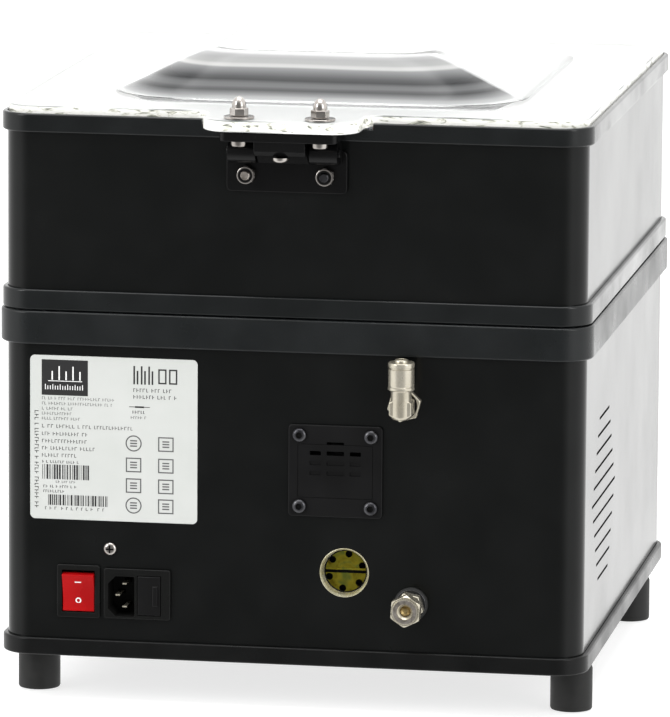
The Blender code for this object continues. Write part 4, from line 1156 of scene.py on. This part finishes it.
def label():
    plate = prism(pad(LABEL, 50.6, 49.4, 3.0), "Y", FACE, FACE + 0.3, 0.08, 2)
    solid("label", plate, LABEL_FILM, "rating_label")
    draw = random.Random(7)
    dark, grey = [], []
    rows = [(strokes, 7.2, end, z0, 1.7, 0.26) for z0, end in SMALL_LINES]
    rows += [(strokes, 7.2, end, z0, 2.1, 0.36) for z0, end in LARGE_LINES]
    for make, *place in rows + BLOCKS:
        dark += make(draw, *place)
    dark += [bar(60.0, 72.5, 29.2, 29.6), bar(63.5, 69.0, 28.9, 29.9)]
    dark += strokes(draw, 62.0, 70.0, 31.6, 1.8, 0.42)
    dark += strokes(draw, 61.0, 71.0, 35.0, 1.6, 0.3)
    for x0 in (62.5, 67.0, 71.5):
        dark += [bar(x0, x0 + 1.0, 4.8, 15.8), bar(x0 + 2.0, x0 + 3.0, 7.6, 15.8)]
    dark += [frame_mark(x0, x0 + 5.0, 6.2, 15.2, 0.9) for x0 in (77.5, 84.0)]
    for z0 in (47.0, 60.0, 72.5, 84.5):
        for x0 in (58.0, 77.5):
            if x0 == 58.0 and z0 in (47.0, 84.5):
                grey.append(ring_mark(x0 + 4.7, z0 + 4.4, 4.9, 0.75))
            else:
                grey.append(frame_mark(x0, x0 + 9.4, z0, z0 + 8.8, 0.75))
            grey += [bar(x0 + 2.6, x0 + 6.8, z0 + up, z0 + up + 0.8) for up in (2.4, 4.0, 5.6)]
    dark += upright_row(draw, 33.5, 93.0)
    dark.append(bar(7.0, 35.0, 2.6, 24.0))
    solid("label_marks", merge(dark), PRINT)
    solid("label_frames", merge(grey), GREY_PRINT)
    lift = 0.03
    emblem = [bar(13.0 + 4.2 * i, 13.8 + 4.2 * i, 9.5 - 3.0 * (i % 2), 14.8, lift) for i in range(5)]
    emblem += [bar(9.0 + 1.5 * i, 9.5 + 1.5 * i, 18.2 - 0.8 * (i % 3 == 0), 20.6, lift) for i in range(16)]
    emblem.append(bar(11.0, 31.5, 15.2, 15.6, lift))
    solid("label_emblem", merge(emblem), WHITE_PRINT)


# ---- front


def round_spot(centre, radius, degrees):
    """Place on a circle about a knob, clockwise from its top."""
    turn = math.radians(degrees)
    return centre[0] + radius * math.sin(turn), centre[1] + radius * math.cos(turn)


def knob(name, centre, body, node, sweep, steps):
    """Fluted control knob with a pointer line, and dots round it on the panel."""
    x, z = centre
    back = PANEL - 0.3
    skirt = beyond(back, (17.4, 0.0), (18.0, -0.5), (18.0, -1.6), (17.4, -2.1), (15.6, -2.8))
    cap = beyond(back, (15.2, -5.0), (14.8, -14.6), (14.2, -16.4), (12.8, -17.5), (10.5, -17.9))
    grip = mesh_object(name, turned(centre, "Y", skirt + cap, 72))
    spots = [round_spot(centre, 16.4, 20 * i + 10) for i in range(18)]
    flutes = rods(spots, "Y", 1.9, back - 15.2, back - 3.6, 16)
    cut(grip, flutes, box(x - 0.9, x + 0.9, back - 22, back - 16.9, z + 3.0, z + 20))
    join(grip, rod(centre, "Y", 3.0, back - 2.0, FRONT + 12.0, 24))
    finished(grip, BLACK, node, body=body, soften=0.3)
    line = box(x - 0.85, x + 0.85, back - 17.15, back - 16.75, z + 3.4, z + 12.9)
    solid(f"{name}_line", line, WHITE_PRINT, body=body)
    dots = []
    for i in range(steps + 1):
        spot = round_spot(centre, 21.6, sweep * i / steps)
        dots.append(rod(spot, "Y", 0.7 if i else 1.1, PANEL - 0.06, PANEL + 0.05, 20))
    solid(f"{name}_scale", merge(dots), WHITE_PRINT)


def numeral(value, centre, degrees):
    """Dial number as a flat text piece on the panel, read from the front."""
    x, z = round_spot(centre, 26.0, degrees)
    curve = bpy.data.curves.new(f"dial_{value}", "FONT")
    curve.body = value
    curve.size = 5.2 * MM
    curve.align_x = "CENTER"
    curve.align_y = "CENTER"
    curve.extrude = 0.03 * MM
    obj = bpy.data.objects.new(f"dial_number_{value}_{round(x)}", curve)
    bpy.context.scene.collection.objects.link(obj)
    obj.location = Vector((x, PANEL - 0.03, z)) * MM
    obj.rotation_euler = (math.radians(90), 0, 0)
    curve.materials.append(WHITE_PRINT)
    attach(obj, "case")


def degas_button():
    x, z = DEGAS
    back = PANEL - 3.6
    profile = ((8.4, 0.0), (8.6, -0.3), (8.6, -3.0), (8.3, -3.7), (7.6, -4.1), (6.4, -4.2), (5.6, -3.8))
    cap = mesh_object("degas_cap", turned(DEGAS, "Y", beyond(back, *profile), 56))
    join(cap, rod(DEGAS, "Y", 5.7, back - 1.0, FRONT + 10.0, 32))
    finished(cap, BLACK_GLOSS, "degas_button", body="degas", sharp=40.0)
    ring = beyond(PANEL, (10.2, -0.02), (10.2, -1.2), (9.9, -1.6), (9.3, -1.6), (9.0, -1.2), (9.0, -0.02))
    solid("degas_ring", turned(DEGAS, "Y", ring, 56, True), STEEL, sharp=50.0)
    wave = []
    for step in (0.0, 1.8, 3.6):
        curve = arc(x, z + 15.0, 2.2 + step, 55, 125, 10) + arc(x, z + 15.0, 1.6 + step, 125, 55, 10)
        wave.append(prism(curve, "Y", PANEL - 0.06, PANEL + 0.05))
    solid("degas_symbol", merge(wave), WHITE_PRINT)


def display():
    x, z = WINDOW
    glass = prism(pad(WINDOW, 38.0, 13.0, 0.8, 6), "Y", PANEL - 0.5, FRONT - 0.3, 0.3)
    solid("display_lens", glass, LENS, "display_window")
    y0, y1 = PANEL - 0.53, PANEL - 0.45
    segments = []
    for digit in (-21.0, -7.0, 9.0, 23.0):
        segments += seven_segments(x + digit, z, y0, y1)
    segments += [block((x, z + up), 0.7, 0.7, y0, y1) for up in (-3.0, 3.0)]
    solid("display_segments", merge(segments), SEGMENT)


def seven_segments(x, z, y0, y1):
    """The seven unlit bars of one display digit."""
    w, h, t = 4.2, 8.0, 1.1
    bars = [box(x - w + 0.8, x + w - 0.8, y0, y1, z + s * h - t / 2, z + s * h + t / 2) for s in (-1, 0, 1)]
    for side in (-1, 1):
        for up in (-1, 1):
            z0, z1 = sorted((z + up * 0.9, z + up * (h - 0.9)))
            bars.append(box(x + side * w - t / 2, x + side * w + t / 2, y0, y1, z0, z1))
    return bars


def front_controls():
    outline = rounded(-122.0, 122.0, 78.0, 194.0, 6.0)
    panel = mesh_object("fascia", prism(outline, "Y", PANEL, FRONT - 0.3, 0.7, 4))
    cut(panel, front_holes())
    finished(panel, BLACK, "control_panel", soften=0.2)
    knob("timer_grip", TIMER, "timer", "timer_knob", 300, 10)
    knob("heater_grip", HEAT, "heat_control", "heater_knob", 270, 9)
    for i in range(0, 11, 2):
        numeral(str(3 * i), TIMER, 30 * i)
    for i in range(0, 10, 3):
        numeral(str(20 + 10 * i if i else 0), HEAT, 30 * i)
    degas_button()
    display()


# ---- pieces that keep their CAD shape


def plain_nodes():
    looks = {
        "fan_frame": BLACK,
        "fan_rotor": BLACK,
        "vacuum_pump": PUMP,
        "generator_board": BOARD,
        "heater_mat": HEATER,
        "transducer_1": ALUMINIUM,
        "transducer_2": ALUMINIUM,
        "transducer_3": ALUMINIUM,
    }
    for node, material in looks.items():
        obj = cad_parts[node]
        obj.data.materials.clear()
        obj.data.materials.append(material)


# ---- stage, camera and light


def stage():
    m = Nodes("pale_floor", (0.4, 0.4, 0.4), 0.6, Emission_Color=(1.0, 1.0, 1.0, 1.0), Emission_Strength=0.74)
    m.use(Base_Color=m.ramp(m.noise(3.0, 2.0), (0.3, (0.4, 0.4, 0.4)), (0.7, (0.42, 0.42, 0.42))))
    bpy.ops.mesh.primitive_plane_add(size=30.0, location=(0, 0, -0.0005))
    floor = bpy.context.object
    floor.name = "floor"
    floor.data.materials.append(m.material)
    floor.visible_glossy = False


def camera():
    """Camera behind the object and a little above it, turned slightly about its own axis."""
    yaw, pitch, roll = math.radians(9.61), math.radians(9.617), math.radians(0.38)
    forward = Vector((math.sin(yaw) * math.cos(pitch), -math.cos(yaw) * math.cos(pitch), -math.sin(pitch)))
    level = Vector((-math.cos(yaw), -math.sin(yaw), 0.0))
    right = math.cos(roll) * level + math.sin(roll) * level.cross(forward)
    turn = Matrix((right, right.cross(forward), -forward)).transposed().to_4x4()
    data = bpy.data.cameras.new("camera")
    data.lens = 352.7
    data.sensor_width = 36.0
    data.shift_x, data.shift_y = -0.0102, 0.0043
    data.clip_start, data.clip_end = 0.5, 50.0
    obj = bpy.data.objects.new("camera", data)
    obj.matrix_world = Matrix.Translation((-0.7118, 4.2045, 0.9018)) @ turn
    bpy.context.scene.collection.objects.link(obj)
    bpy.context.scene.camera = obj


def area(name, size, power, place, target):
    data = bpy.data.lights.new(name, "AREA")
    data.shape = "RECTANGLE"
    data.size, data.size_y = size
    data.energy = power
    obj = bpy.data.objects.new(name, data)
    obj.location = place
    obj.rotation_euler = (Vector(target) - Vector(place)).to_track_quat("-Z", "Y").to_euler()
    bpy.context.scene.collection.objects.link(obj)


def light():
    """A white surround, dim on the camera's side and bright elsewhere, and soft lights above."""
    world = bpy.data.worlds.new("studio")
    bpy.context.scene.world = world
    world.use_nodes = True
    tree = world.node_tree
    direction = new_node(tree, "TexCoord").outputs["Generated"]
    along_y = new_node(tree, "SeparateXYZ", Vector=direction).outputs["Y"]
    fade = new_node(tree, "MapRange", From_Min=0.5, From_Max=0.97, To_Min=1.4, To_Max=0.33, Value=along_y)
    fade.interpolation_type = "SMOOTHSTEP"
    lift = new_node(tree, "MapRange", From_Min=-1.0, From_Max=-0.7, To_Min=0.35, To_Max=0.0, Value=along_y)
    strength = new_math(tree, "ADD", fade.outputs["Result"], lift.outputs["Result"])
    surround = tree.nodes["Background"]
    surround.inputs["Color"].default_value = (1.0, 1.0, 0.995, 1.0)
    fill(tree, surround.inputs["Strength"], strength)
    backdrop = new_node(tree, "Background", Strength=1.15)
    seen = new_node(tree, "LightPath").outputs["Is Camera Ray"]
    mix = new_node(tree, "MixShader", Fac=seen)
    fill(tree, mix.inputs[1], surround.outputs["Background"])
    fill(tree, mix.inputs[2], backdrop.outputs["Background"])
    fill(tree, tree.nodes["World Output"].inputs["Surface"], mix.outputs["Shader"])
    area("overhead", (1.6, 1.6), 26.0, (0.0, 0.2, 1.9), (0, 0, 0.2))
    area("rear_left", (0.9, 1.4), 24.0, (1.8, 1.9, 1.2), (0, 0.1, 0.15))
    area("rear_right", (0.7, 1.4), 16.0, (-2.0, 1.6, 1.0), (0, 0.1, 0.15))
    bpy.context.scene.view_settings.view_transform = "Standard"


camera()
light()
stage()
casing()
tank_and_deck()
lid()
hinge()
vent()
inlet()
switch()
port()
elbow()
drain()
label()
front_controls()
plain_nodes()
